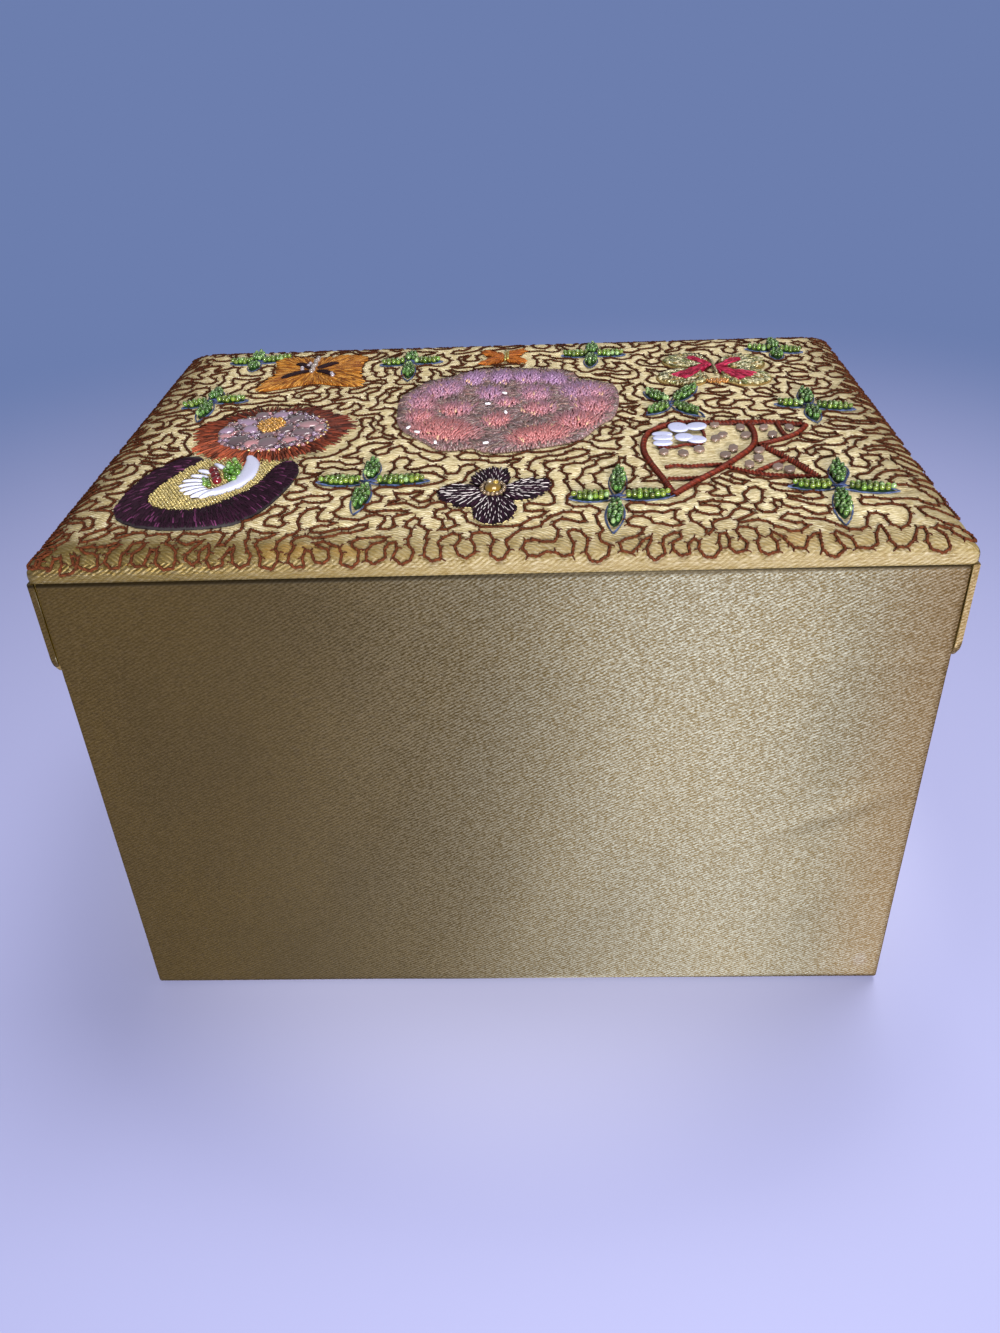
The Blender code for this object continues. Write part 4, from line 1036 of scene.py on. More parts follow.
# Directions and phases of the waves in cloth over board
WAVES = ((1.0, 0.3, 0.4), (-0.6, 1.1, 2.0), (0.35, -0.8, 4.1), (1.7, 0.9, 5.2))


def waves(x, z, size, reach):
    """A gentle unevenness of cloth over board, in metres."""
    total = np.zeros(np.broadcast(x, z).shape)
    for turn, (kx, kz, phase) in enumerate(WAVES):
        total = total + np.sin((kx * x + kz * z) * math.tau / reach + phase) / (1 + 0.5 * turn)
    return total * size


def side_path(half, front, corner, rear_y, spacing=0.003):
    """A line in plan along the right side from the rear, round the front and back along the left."""
    turn = np.linspace(0, math.pi / 2, 7)
    straight = joined(half, np.arange(rear_y, front + corner, -spacing))
    bend = (half - corner, front + corner) + corner * joined(np.cos(turn), -np.sin(turn))
    facing = joined(np.arange(half - corner, 0.0, -spacing), front)[1:]
    half_line = np.concatenate([straight, bend, facing])
    return np.concatenate([half_line, (half_line * (-1, 1))[::-1]])


def outward(path):
    """Directions out of a line in plan that runs clockwise round the box."""
    return left_of(np.gradient(path, axis=0))


def bulge(values, middle, reach):
    """1 at a middle, and less towards either side."""
    return np.exp(-((values - middle) / reach) ** 2)


def ramp(values, start, length):
    """0 up to a start, then up to 1 over a length."""
    return np.clip((values - start) / length, 0, 1)


def wall_rows():
    """Rows of the satin over the rear wall, from the crease to the foot, and round both corners."""
    flat_half = BODY_X - WALL_EDGE
    turn = np.linspace(0, math.pi / 2, 7)[1:]
    bend = (flat_half, HALF_Y - WALL_EDGE) + WALL_EDGE * joined(np.sin(turn), np.cos(turn))
    tail = joined(BODY_X, bend[-1, 1] - np.array((0.001, 0.0025, 0.0045, 0.0064)))
    end = np.concatenate([bend, tail])
    plan = np.concatenate([end[::-1] * (-1, 1), joined(np.linspace(-flat_half, flat_half, 180), HALF_Y), end])
    x = plan[:, 0]
    face = np.abs(x) < flat_half + 0.0008
    crease = [HINGE[1], WALL_TOP - 0.0001, WALL_TOP - 0.0006]
    foot = [0.0034, 0.0022, WALL_FOOT, WALL_FOOT]
    levels = np.concatenate([crease, np.arange(WALL_TOP - 0.0018, 0.006, -0.0022), foot])
    inward = np.zeros(len(levels))
    inward[:3] = 0.00045, 0.00022, 0.00006
    inward[-3:] = 0.00005, 0.0005, 0.0022
    rows = []
    for level, sink in zip(levels, inward):
        fold = bulge(level, 0.1725, 0.0035) * ramp(x, 0.05, 0.05)
        fold = fold * 0.00022 * np.sin(level * 2600 + x * 26 + np.sin(x * 90) * 1.3)
        strip = bulge(level, 0.1446, 0.0012) * ramp(np.abs(x), 0.085, 0.04) * 0.00016
        slack = bulge(level + (x + 0.098) * 0.4, 0.079, 0.004) * ramp(-x, 0.072, 0.03) * ramp(x, -0.134, 0.02)
        tuck = bulge(level, 0.036, 0.003) * ramp(-x, 0.03, 0.02) * ramp(x, -0.115, 0.02)
        wobble = (waves(x, level, 0.00006, 0.09) + fold + strip + slack * 0.00022 + tuck * 0.0001) * face
        rows.append(joined(x - x / BODY_X * 0.35 * sink, plan[:, 1] - sink + wobble - 0.00005, level))
    return rows


def build_satin_cover():
    """One cloth over the pad, the crease and the rear wall."""
    points, quads, loop, tints = lid_grid()
    heap = Heap()
    heap.add(points, [quads], tints)
    edge, half = points[loop], (HALF_X, HALF_Y)
    out = unit(edge[:, :2] / half)
    rows = [edge]
    for drop, share in ((0.0009, 0.00004), (0.0017, 0.0), (0.0022, -0.00015), (0.0025, -0.0005)):
        rows.append(joined(*(edge[:, :2] + out * share).T, PAD_BASE - drop))
    apron, sides = lofted(rows, closed=True)
    heap.add(apron, [sides[:, ::-1]], (1, 0, 0))
    wall, faces = lofted(wall_rows())
    heap.add(wall, [faces], (1, 1, 1))
    mesh = heap.mesh("satin_cover")
    cloth_map(mesh)
    satins = [lid_satin(), SHADED_REAR_SATIN, WALL_SATIN]
    cover = finish_piece("satin_cover", mesh, satins, "gold_satin", "lid_cover", "rear_cover", "hinge_cloth",
                         "lid_padding", body=None)
    for face in mesh.polygons:
        if face.center.z < HINGE[1]:
            face.material_index = 2 if abs(face.center.x) > BODY_X - 0.0001 else 1
    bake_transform(cover)


# Beadwork


def stitched(heap, outline, middle, colours, length, lift, spacing=0.95, thick=0.3, spread=0.16):
    """Satin stitch over an outline: short strands that lie away from a middle."""
    plan = rows_in(outline, spacing)
    count = len(plan)
    heading = heading_of(plan - middle) + rng.normal(0, 0.09, count)
    size = joined(rng.uniform(0.8, 1.15, count) * length, thick, thick)
    tint = varied(picked(colours, count), count, spread)
    scatter(heap, STRAND, plan, heading, lift + rng.uniform(-0.15, 0.25, count), size, tint, arch=0.12)


def build_peony():
    ground, fill, rim, glints = Heap(), Heap(), Heap(), Heap()
    outline = smooth_line(PEONY, 2.0, closed=True, rounds=1)
    outline[:, 1] -= 2.2 * np.clip((outline[:, 1] - 95) / 40, 0, 1)
    outline += (outline.mean(0) - outline) * 0.018
    patch(ground, outline, 0.9, (104, 78, 80))
    plan = rows_in(outline, 1.3, 0.3)
    petals = np.array(PEONY_PETALS) - (0.0, 2.0, 0.0, 0.0, 0.0)
    offset = plan[:, None] - petals[None, :, :2]
    depth = np.linalg.norm(rotated(offset, -np.radians(petals[:, 4])) / petals[:, 2:4], axis=-1)
    petal, depth = depth.argmin(1), depth.min(1)
    core = depth < 1.26 + rng.normal(0, 0.1, len(plan))
    away = offset[np.arange(len(plan)), petal]

    inner, deep = plan[core], depth[core]
    count = len(inner)
    far = (inner[:, 1] - 92.0) / 48.0 + rng.normal(0, 0.12, count) - 0.12 * np.sin(inner[:, 0] * 0.2)
    far = np.clip(far, 0, 1)[:, None]
    coral, lilac, rose, smoke = linears((164, 97, 98), (145, 109, 148), (157, 107, 124), (114, 86, 86))
    tint = np.where(far < 0.5, mixed(coral, rose, far * 2), mixed(rose, lilac, far * 2 - 1))
    tint = mixed(tint, linear(122, 92, 96), np.clip((deep - 0.75) / 0.5, 0, 1)[:, None] * 0.6)
    tint = varied(tint, count, 0.16)
    tint[rng.random(count) < 0.025] = linear(196, 156, 126)
    heading = math.pi / 2 + rng.normal(0, 0.16, count) - away[core][:, 0] * 0.035
    size = joined(rng.uniform(1.5, 2.3, count), 0.4, 0.4)
    lift = 1.45 + 0.75 * (1 - np.clip(deep, 0, 1) ** 2) + rng.uniform(-0.1, 0.15, count)
    scatter(fill, BUGLE, inner, heading, lift, size, tint, glow=0.12)

    outer = plan[~core]
    count = len(outer)
    heading = heading_of(away[~core]) + rng.normal(0, 0.3, count)
    tint = smoke * rng.uniform(0.45, 1.45, (count, 1)) * rng.uniform(0.9, 1.12, (count, 3))
    size = joined(rng.uniform(1.3, 2.1, count), 0.5, 0.5)
    lift = 1.25 + rng.uniform(-0.1, 0.3, count)
    scatter(rim, BUGLE, outer, heading, lift, size, np.clip(tint, 0, 1), glow=0.3)
    fringe = smooth_line(outline, 0.95, closed=True, rounds=0)
    heading = heading_of(np.roll(fringe, -1, 0) - np.roll(fringe, 1, 0)) + math.pi / 2
    heading = heading + rng.normal(0, 0.2, len(fringe))
    tint = np.clip(smoke * rng.uniform(0.5, 1.35, (len(fringe), 1)), 0, 1)
    scatter(rim, BUGLE, fringe, heading, 0.95, (1.7, 0.5, 0.5), tint, glow=0.3)
    # Painted highlights: white bugles placed where the peony shows glints
    plan = np.array(PEONY_GLINTS) - (0.0, 3.2)
    scatter(glints, BUGLE, plan, rng.uniform(0, math.pi, len(plan)), 2.6, (1.0, 0.6, 0.4), (226, 224, 234))
    finish_piece("peony_ground", ground, BEDDING, "lilac_beads", "peony")
    finish_piece("peony_petals", fill, PETAL_GLASS, "lilac_beads", "peony")
    finish_piece("peony_rims", rim, PETAL_GLASS, "lilac_beads", "peony")
    finish_piece("peony_glints", glints, CLEAR_GLASS, "lilac_beads")


def rosette_swell(angle):
    """How far the rosette's edge lies out, for each angle."""
    return 1.0 + 0.035 * np.sin(3 * angle + 0.8) + 0.025 * np.sin(7 * angle)


def build_rosette():
    ground, floss, lenses, seeds = Heap(), Heap(), Heap(), Heap()
    middle = np.array(ROSETTE) - (1.3, 0.0)
    angles = np.arange(60) * math.tau / 60
    patch(ground, oval(middle, (25.4, 24.2), 60, rosette_swell(angles)), 0.8, (70, 26, 14))
    dark, rust = linears((84, 34, 22), (124, 58, 36))
    for inner, outer, count, lift, thick in ((0.80, 1.04, 210, 0.9, 0.34), (0.70, 0.93, 190, 1.25, 0.34),
                                             (0.66, 0.82, 160, 1.45, 0.3)):
        angle = (np.arange(count) + rng.uniform(-0.45, 0.45, count)) * math.tau / count
        end = outer * rosette_swell(angle) * rng.uniform(0.92, 1.07, count)
        start = inner + rng.uniform(-0.02, 0.03, count)
        out = joined(27.3 * np.cos(angle), 26.2 * np.sin(angle))
        # Painted light: the ring's strands are painted lighter on one side and darker on the other
        light = 0.5 + 0.5 * np.cos(angle - math.radians(235))[:, None]
        tint = mixed(dark, rust, light ** 2) * rng.uniform(0.3, 1.6, (count, 1)) ** 1.3
        size = joined(np.linalg.norm(out, axis=1) * (end - start) / 2, thick, thick)
        heading = heading_of(out) + rng.normal(0, 0.1, count)
        plan = middle + out * ((start + end) / 2)[:, None]
        scatter(floss, STRAND, plan, heading, lift, size, np.clip(tint, 0, 1), arch=0.25)
    middle = middle + (1.2, -0.4)
    heart = oval(middle, (19.8, 18.6), 48)
    patch(floss, heart, 1.15, (120, 94, 70))
    shades = linears((92, 74, 82), (128, 106, 130), (134, 102, 108), (74, 58, 64), (154, 108, 114))
    plan = rows_in(heart, 1.9)
    count = len(plan)
    tint = picked(shades, count) * rng.uniform(0.6, 1.3, (count, 1))
    scatter(lenses, BUGLE, plan, rng.uniform(0, math.pi, count), 1.7 + rng.uniform(-0.1, 0.4, count),
            (1.0, 0.75, 0.6), tint, glow=0.3)
    for x, y, across, away, turn, shade in ROSETTE_LENSES:
        place = mixed(middle, (x, y), 0.95)
        across, away, heading = across * 0.84, away * 0.84, math.radians(turn)
        tint = varied(shades[shade], 1, 0.05)
        lift = 1.85 + rng.uniform(-0.1, 0.3)
        scatter(lenses, LENS, place, heading, lift, (across, away, 0.85), tint, glow=-0.15)
        edge = place + rotated(oval(0, (across + 0.25, away + 0.25), 30), heading)
        tube(seeds, edge, 0.22, 1.55, linear(132, 106, 64), closed=True, sides=5)
    plan = rows_in(oval((-84.0, 96.4), (4.9, 6.6), 24), 1.5, 0.12)
    count = len(plan)
    scatter(seeds, SEED, plan, rng.uniform(0, math.tau, count), 2.3 + rng.uniform(-0.2, 0.25, count),
            (0.72, 0.8, 0.8), (168, 122, 52), 0.35, glow=0.1)
    scatter(seeds, SEED, oval(middle, (19.6, 18.4), 34), np.arange(34) * math.tau / 34, 1.7, (0.55, 0.6, 0.6),
            (176, 150, 92), 0.25)
    finish_piece("rosette_ground", ground, BEDDING, "rust_beads", "rosette")
    finish_piece("rosette_stitches", floss, FLOSS, "rust_beads", "rosette")
    finish_piece("rosette_lenses", lenses, SMOKE_GLASS, "lilac_beads")
    finish_piece("rosette_seeds", seeds, GOLD_GLASS, "gold_beads")


def raised(heap, rows, tint):
    """A rounded sheet over the lid, through rows of places that each have one height."""
    points, quads = lofted([lid_place(plan, LAID + lift)[0] for plan, lift in rows])
    heap.add(points, [quads[:, ::-1]], linear(*tint))


# Share of the way over the crescent, and its height there
CRESCENT_RISE = ((0.0, 0.0), (0.01, 0.8), (0.08, 1.15), (0.3, 1.35), (0.5, 1.4), (0.7, 1.35), (0.92, 1.15),
                 (0.99, 0.8), (1.0, 0.0))


def build_crescent():
    bed, floss = Heap(), Heap()
    steps = np.linspace(0, 1, 90)
    edges = []
    for side in (CRESCENT_OUT, CRESCENT_IN):
        line = smooth_line(side, 1.0)
        edges.append(points_at(steps, np.linspace(0, 1, len(line)), line))
    outer, inner = edges
    raised(bed, [(mixed(outer, inner, share), lift) for share, lift in CRESCENT_RISE], (20, 6, 18))
    for end in (0, -1):
        radius = np.linalg.norm(outer[end] - inner[end]) / 2
        patch(bed, oval((outer[end] + inner[end]) / 2, (radius, radius * 0.6), 20), 1.25, (20, 6, 18))
    count = 300
    share = (np.arange(count) + 0.5) / count
    start, end = (points_at(share, steps, edge) for edge in edges)
    way = end - start
    for part, lift in ((0.16, 1.2), (0.38, 1.42), (0.62, 1.42), (0.84, 1.2)):
        place = start + way * (part + rng.uniform(-0.05, 0.05, count))[:, None]
        tint = varied(linear(32, 10, 26), count, 0.55)
        bright = rng.random(count) < 0.07
        tint[bright] = varied(linear(86, 40, 74), bright.sum(), 0.3)
        # Painted highlight: strands are painted lighter towards the band's lit part
        painted_lit_side = np.clip((place[:, 0] + 96) / 18, 0, 1) * np.clip((34 - place[:, 1]) / 12, 0, 1)
        tint = np.clip(tint * (1 + 0.9 * painted_lit_side[:, None]), 0, 1)
        size = joined(np.linalg.norm(way, axis=1) * 0.16, 0.26, 0.24)
        scatter(floss, STRAND, place, heading_of(way) + rng.normal(0, 0.08, count),
                lift + rng.uniform(-0.06, 0.1, count), size, tint, arch=0.14)
    finish_piece("crescent_band", bed, BEDDING, "plum_beads", "crescent")
    finish_piece("crescent_stitches", floss, PLUM_SILK, "plum_beads", "crescent")


def leaf_beads(heap, stem, tip, half_width, colour, tall=1.0, bead=0.92):
    """Rows of beads strung across a leaf, each row an arch, every other one half a bead aside."""
    along = np.subtract(tip, stem)
    length, across = np.linalg.norm(along), left_of(along)
    rows = max(3, int(round(length / (bead * 1.95))))
    for row in range(rows):
        share = (row + 0.5) / rows
        half = half_width * math.sin(math.pi * min(0.08 + 0.9 * share, 0.985)) ** 0.62
        places = max(1, int(round(half * 2 / (bead * 1.75))))
        offsets = (np.arange(places) - (places - 1) / 2) * (half * 2 / places)
        offsets = offsets + half / places * (0.3 if row % 2 else -0.3)
        plan = stem + along * share + offsets[:, None] * across
        plan = plan + rng.normal(0, 0.12, plan.shape)
        lift = 0.75 + tall * 1.2 * np.sqrt(np.clip(1 - (offsets / (half + 0.6)) ** 2, 0, 1))
        tint = colour * rng.uniform(0.45, 1.4, (places, 1)) * rng.uniform(0.85, 1.12, (places, 3))
        # Painted highlights: a tenth of the beads painted pale green as glints
        tint[rng.random(places) < 0.1] = linear(124, 152, 98)
        tint = np.clip(tint, 0, 1)
        scatter(heap, SEED, plan, heading_of(across), lift, (bead * 0.9, bead, bead), tint, glow=0.25)


def leaf_edges(stem, tip, half_width, count, taper):
    """The left and the right edge of a pointed leaf."""
    share = np.linspace(0, 1, count)[:, None]
    line = mixed(stem, tip, share)
    swell = left_of(tip - stem) * half_width * np.sin(np.pi * share) ** taper
    return line + swell, line - swell


def build_sprigs():
    for (middle, *tips), name in zip(SPRIGS, SPRIG_NAMES):
        glass, floss = Heap(), Heap()
        for quarter, tip in enumerate(tips):
            offset = np.subtract(tip, middle)
            length = np.linalg.norm(offset)
            start, end = middle + offset * 0.16, middle + offset * (0.96 - 0.1 * (quarter == 3))
            half = 2.6 if length > 9 else 2.2
            left, right = leaf_edges(start, end, half * 0.9, 12, 0.7)
            patch(floss, np.concatenate([left, right[-2:0:-1]]), 0.7, (24, 46, 22))
            # Painted sheen: leaves that point away or near are painted a darker, bluer green than side
            # leaves, as the angle of view shows them
            colour = mixed(*linears((92, 112, 42), (68, 100, 46)), abs(offset[1]) / length)
            leaf_beads(glass, start, end, half, colour)
            for edge in leaf_edges(middle, middle + offset * 1.03, half + 0.3, 16, 0.8):
                blue = varied(linear(64, 76, 110), len(edge), 0.35)
                tube(floss, edge, 0.2, 0.42, blue, sides=5, twist=(0.14, 1.5, 0.0))
                tube(floss, edge, 0.15, 0.46, blue * 1.5, sides=5, twist=(0.2, 1.5, math.pi))
        for angle in (45, 189):
            size = (2.4, 0.28, 0.28)
            scatter(floss, STRAND, middle, math.radians(angle), 1.0, size, (52, 64, 104), arch=0.3)
        finish_piece(name + "_beads", glass, GREEN_GLASS, "green_beads", name)
        if name == "sprig_rear_left":
            stray = smooth_line(STRAY_THREAD, 0.8)
            tube(floss, stray, 0.34, 0.6, linear(54, 66, 106), twist=(0.2, 1.6, 0.0))
        finish_piece(name + "_floss", floss, FLOSS, "green_beads", name)


def build_wing():
    bed, white, seeds, leaves = Heap(), Heap(), Heap(), Heap()
    outline = CRESCENT_IN + ((-78.0, 67.5), (-87.0, 70.5), (-97.0, 70.5))
    outline = smooth_line(outline, 1.2, closed=True, rounds=1)
    outline = mixed(outline.mean(0), outline, 0.985)
    patch(bed, outline, 0.55, (150, 134, 84))
    plan = rows_in(outline, 1.12, 0.14)
    plan = plan[near_line(np.array(WING), plan) > 2.9]
    count = len(plan)
    scatter(seeds, SEED, plan, rng.uniform(-0.5, 0.5, count) + 1.1, 0.85 + rng.uniform(-0.08, 0.12, count),
            (0.5, 0.53, 0.5), (176, 158, 100), 0.35, glow=0.15)
    pearl = (180, 182, 208)
    spine = smooth_line(WING, 0.8)
    widths = np.interp(np.linspace(0, 1, len(spine)), np.linspace(0, 1, len(WING)), WING_WIDTHS)
    across = left_of(np.gradient(spine, axis=0))
    rows = [(spine + across * (widths * turn)[:, None], 0.45 + 1.35 * math.sqrt(max(0.0, 1 - abs(turn) ** 3)))
            for turn in np.linspace(-1, 1, 11)]
    raised(white, rows, pearl)
    for tip, end in ((0, 1), (-1, -2)):
        size = (widths[tip], widths[tip], 0.85)
        scatter(white, LENS, spine[tip], heading_of(spine[tip] - spine[end]), 1.0, size, pearl)
    for start, stop in np.array(FEATHERS):
        way = start - stop
        size = (np.linalg.norm(way) / 2 + 0.5, 1.0, 0.75)
        scatter(white, LENS, (start + stop) / 2, heading_of(way), 1.35, size, (192, 194, 218), 0.06)
    leaf_beads(leaves, (-88.4, 49.6), (-91.0, 66.4), 2.9, linear(84, 126, 40), tall=1.1, bead=1.2)
    leaf_beads(leaves, (-94.8, 45.6), (-97.6, 51.6), 1.5, linear(90, 124, 50), tall=0.9)
    red = ((-96.0, 57.6), (-94.4, 53.6), (-92.9, 49.6))
    scatter(leaves, SEED, red, math.radians(-68), 2.0, (2.1, 1.7, 1.4), (96, 18, 28), 0.2, glow=0.3)
    finish_piece("wing_ground", bed, BEDDING, "gold_beads", "wing_oval")
    finish_piece("wing_seeds", seeds, GOLD_GLASS, "gold_beads", "wing_oval")
    finish_piece("wing_white", white, SHELL, "gold_beads")
    finish_piece("wing_leaf", leaves, GREEN_GLASS, "green_beads")


def build_fish():
    cords, shells, scales = Heap(), Heap(), Heap()
    for width, line in FISH_CORDS:
        line = smooth_line(line, 0.6)
        rust = varied(linear(92, 32, 19), len(line), 0.3)
        half = width * 0.62
        # Painted shade: a core painted dark shows between the strands, and one strand is painted darker, the
        # other lighter
        tube(cords, line, half * 0.86, 0.5, rust * 0.5, flat=0.55, sides=8)
        for start, shade in ((0.0, 0.8), (math.pi, 1.2)):
            tube(cords, line, half * 0.48, 0.72, rust * shade, twist=(half * 0.46, 2.6, start))
    for x, y, across, away, turn in SHELLS:
        scatter(shells, DISC, (x, y), math.radians(turn), 1.25 + rng.uniform(0, 0.25),
                (across * 1.1, away * 1.05, 0.5), (176, 180, 214), 0.05)
    count = len(SCALES)
    size = joined(rng.uniform(2.7, 3.2, count), rng.uniform(1.7, 2.1, count), 0.5)
    scatter(scales, HEXAGON, SCALES, math.radians(78) + rng.normal(0, 0.15, count), 0.75, size,
            (118, 96, 86), 0.2, glow=0.15)
    finish_piece("fish_cords", cords, FLOSS, "russet_thread", "fish")
    finish_piece("fish_shells", shells, SHELL, "russet_thread")
    finish_piece("fish_scales", scales, SMOKE_GLASS, "russet_thread", "fish")


def build_orange_butterfly():
    floss, bars, glass = Heap(), Heap(), Heap()
    outline = smooth_line(ORANGE_WINGS, 1.6, closed=True, rounds=1)
    patch(floss, outline, 0.75, (110, 60, 14))
    shades = linears((162, 106, 34), (134, 80, 22), (178, 126, 58), (110, 60, 18))
    stitched(floss, outline, ORANGE_MIDDLE, shades, 2.7, 0.95, spacing=1.0, spread=0.25)
    edge = smooth_line(outline, 0.8, closed=True, rounds=1)
    tube(floss, edge, 0.32, 0.5, varied(linear(140, 80, 22), len(edge), 0.2), closed=True, sides=5)
    for bar in ORANGE_BARS:
        start = mixed(ORANGE_MIDDLE, bar, 0.12)
        way = bar - start
        for side in np.linspace(-1.3, 1.3, 6):
            length = np.linalg.norm(way) / 2 * (1 - 0.12 * abs(side)) + rng.uniform(-0.4, 0.4)
            place = (start + bar) / 2 + left_of(way) * side
            scatter(bars, STRAND, place, heading_of(way) + rng.normal(0, 0.03), 1.55, (length, 0.34, 0.34),
                    (30, 11, 18), 0.3, arch=0.35)
    number = np.arange(9)
    column = joined(-79.9 + 0.3 * np.sin(number * 1.9), 158.6 + number * 2.2)
    scatter(glass, SEED, column, 0.0, 2.0, (1.1, 1.1, 1.05), (140, 128, 124), 0.25, glow=0.35)
    extra = ((-84.6, 163.4), (-84.2, 161.2), (-70.8, 154.6), (-70.2, 152.8), (-82.4, 166.2), (-82.0, 169.0))
    scatter(glass, SEED, extra, 1.2, 1.9, (0.9, 0.85, 0.85), (156, 146, 158), 0.2, glow=0.3)
    finish_piece("orange_wings", floss, FLOSS, "orange_thread", "orange_butterfly")
    finish_piece("orange_wing_bars", bars, PLUM_SILK, "plum_beads")
    finish_piece("orange_butterfly_beads", glass, CLEAR_GLASS, "gold_beads")


def build_beaded_butterfly():
    bed, glass, floss = Heap(), Heap(), Heap()
    shades = linears((158, 150, 104), (112, 118, 70), (196, 188, 150), (88, 86, 46), (140, 118, 66))
    for x, y, across, away in LOBES:
        outline = oval((x, y), (across, away), 36)
        patch(bed, outline, 0.5, (168, 150, 96))
        tube(floss, outline, 0.36, 0.45, varied(linear(122, 98, 52), 36, 0.25), closed=True)
        plan = rows_in(oval((x, y), (across - 0.8, away - 0.8), 30), 1.45)
        count = len(plan)
        heading = heading_of(plan - (83.5, 151.0)) + rng.normal(0, 0.35, count)
        tint = picked(shades, count) * rng.uniform(0.8, 1.15, (count, 1))
        scatter(glass, BUGLE, plan, heading, 1.2 + rng.uniform(-0.15, 0.3, count), (1.15, 0.48, 0.48),
                np.clip(tint, 0, 1), glow=0.3)
    silks = linears((146, 20, 54), (108, 12, 38), (164, 46, 76))
    for ax, ay, bx, by, half in WEDGES:
        start, end = np.array((ax, ay)), np.array((bx, by))
        way = unit(end - start)
        across = left_of(way)
        wide = across * half
        outline = np.array((start - across, end - wide, end + way * 1.2, end + wide, start + across))
        patch(floss, smooth_line(outline, 0.8, closed=True, rounds=1), 1.5, (120, 14, 42))
        stitched(floss, outline, start - way * 3, silks, 1.6, 1.75, spacing=0.85)
    column = joined(84.4, 143.0 + np.arange(9) * 1.9)
    scatter(glass, SEED, column, 0.0, 1.7, (0.8, 0.85, 0.85), (122, 112, 80), 0.2, glow=0.2)
    plan = rows_in(oval((84.0, 135.6), (4.4, 2.6), 14), 1.2, 0.2)
    scatter(glass, SEED, plan, 0.4, 1.0, (0.6, 0.6, 0.6), (168, 112, 50), 0.25, glow=0.2)
    finish_piece("butterfly_ground", bed, BEDDING, "gold_beads", "beaded_butterfly")
    finish_piece("butterfly_beads", glass, GOLD_GLASS, "gold_beads", "beaded_butterfly")
    finish_piece("butterfly_floss", floss, FLOSS, "gold_beads", "beaded_butterfly")


def build_small_flower():
    floss, seeds = Heap(), Heap()
    middle = np.array((0.0, 173.0))
    silks = linears((160, 92, 34), (122, 62, 20), (144, 80, 28))
    for tip in SMALL_FLOWER:
        way = unit(tip - middle)
        across = left_of(way)
        waist, end = middle + way * 5, tip + way * 1.4
        outline = np.array((middle + across, waist + across * 3.0, tip + across * 2.2, end,
                            tip - across * 2.2, waist - across * 3.0, middle - across))
        patch(floss, smooth_line(outline, 1.0, closed=True, rounds=1), 0.7, (110, 54, 16))
        stitched(floss, outline, middle, silks, 2.0, 0.95, spread=0.25)
    number = np.arange(9)
    plan = joined(0.2 + 1.1 * (number % 2), 168.6 + 1.25 * number)
    scatter(seeds, BUGLE, plan, math.pi / 2, 1.5, (1.5, 0.5, 0.5), (156, 144, 66), 0.3, glow=0.2)
    finish_piece("small_flower_floss", floss, FLOSS, "orange_thread", "small_flower")
    finish_piece("small_flower_beads", seeds, GOLD_GLASS, "gold_beads")


def build_pansy():
    ground, floss, seeds = Heap(), Heap(), Heap()
    middle = np.array(PANSY_MIDDLE)
    silks = linears((30, 11, 26), (18, 7, 16), (40, 18, 34))
    for petal in PANSY_PETALS:
        outline = smooth_line(petal, 0.9, closed=True, rounds=1)
        patch(ground, outline, 0.6, (18, 7, 16))
        stitched(ground, outline, middle, silks, 1.9, 0.85, thick=0.34)
        chosen = rows_in(outline, 2.1, 0.22)
        out = chosen - middle
        keep = np.linalg.norm(out, axis=1) > 5.5
        heading = heading_of(out) + rng.normal(0, 0.12, len(out))
        size = joined(rng.uniform(0.8, 1.7, keep.sum()), 0.13, 0.15)
        scatter(floss, STRAND, chosen[keep], heading[keep], 1.25, size, (196, 188, 190), 0.2, arch=0.1)
        rim = petal_rim(outline, middle)
        tube(floss, rim, 0.22, 0.4, linear(190, 176, 130), sides=5, twist=(0.12, 1.4, 0.0))
    ring = np.arange(16) * math.tau / 16 + math.pi / 2
    scatter(seeds, SEED, oval(middle, (3.6, 4.6), 16), ring, 1.7, (0.8, 0.75, 0.75),
            (126, 106, 84), 0.25, glow=0.3)
    scatter(seeds, LENS, middle + (0, -0.4), math.pi / 2, 1.9, (3.7, 2.7, 1.4), (136, 104, 30), glow=0.35)
    scatter(seeds, SEED, middle + ((-1.0, 2.2), (0.9, 1.2)), 1.2, 3.0, (1.2, 0.9, 0.8),
            linears((150, 138, 118), (170, 142, 60)), glow=0.3)
    finish_piece("pansy_ground", ground, PLUM_SILK, "plum_beads", "pansy")
    finish_piece("pansy_floss", floss, FLOSS, "plum_beads")
    finish_piece("pansy_beads", seeds, GOLD_GLASS, "gold_beads")


def petal_rim(outline, middle):
    """The outer edge of a petal, without the part that meets the middle."""
    away = np.linalg.norm(outline - middle, axis=1)
    outline = np.roll(outline, -int(away.argmin()), 0)
    sixth = len(outline) // 6
    return mixed(outline.mean(0), outline, 1.07)[sixth:-sixth]


# Body, lid and till


def velvet(name, colour, deep):
    finish = Finish(name, roughness=0.9, sheen_weight=0.55, sheen_roughness=0.35,
                    sheen_tint=(*linear(236, 190, 190), 1.0))
    place = finish.solid()
    pile = finish.noise(place, 2400.0, 2.0)
    crushed = finish.noise(place, 34.0, 3.0)
    ground = finish.mix(crushed.between(0.32, 0.68), deep, colour)
    ground = finish.mix(pile * 0.5, ground, tuple(0.5 * c for c in deep))
    return finish.show(base_color=ground, normal=finish.bump(pile + crushed * 2.0, 0.4, 0.0002))


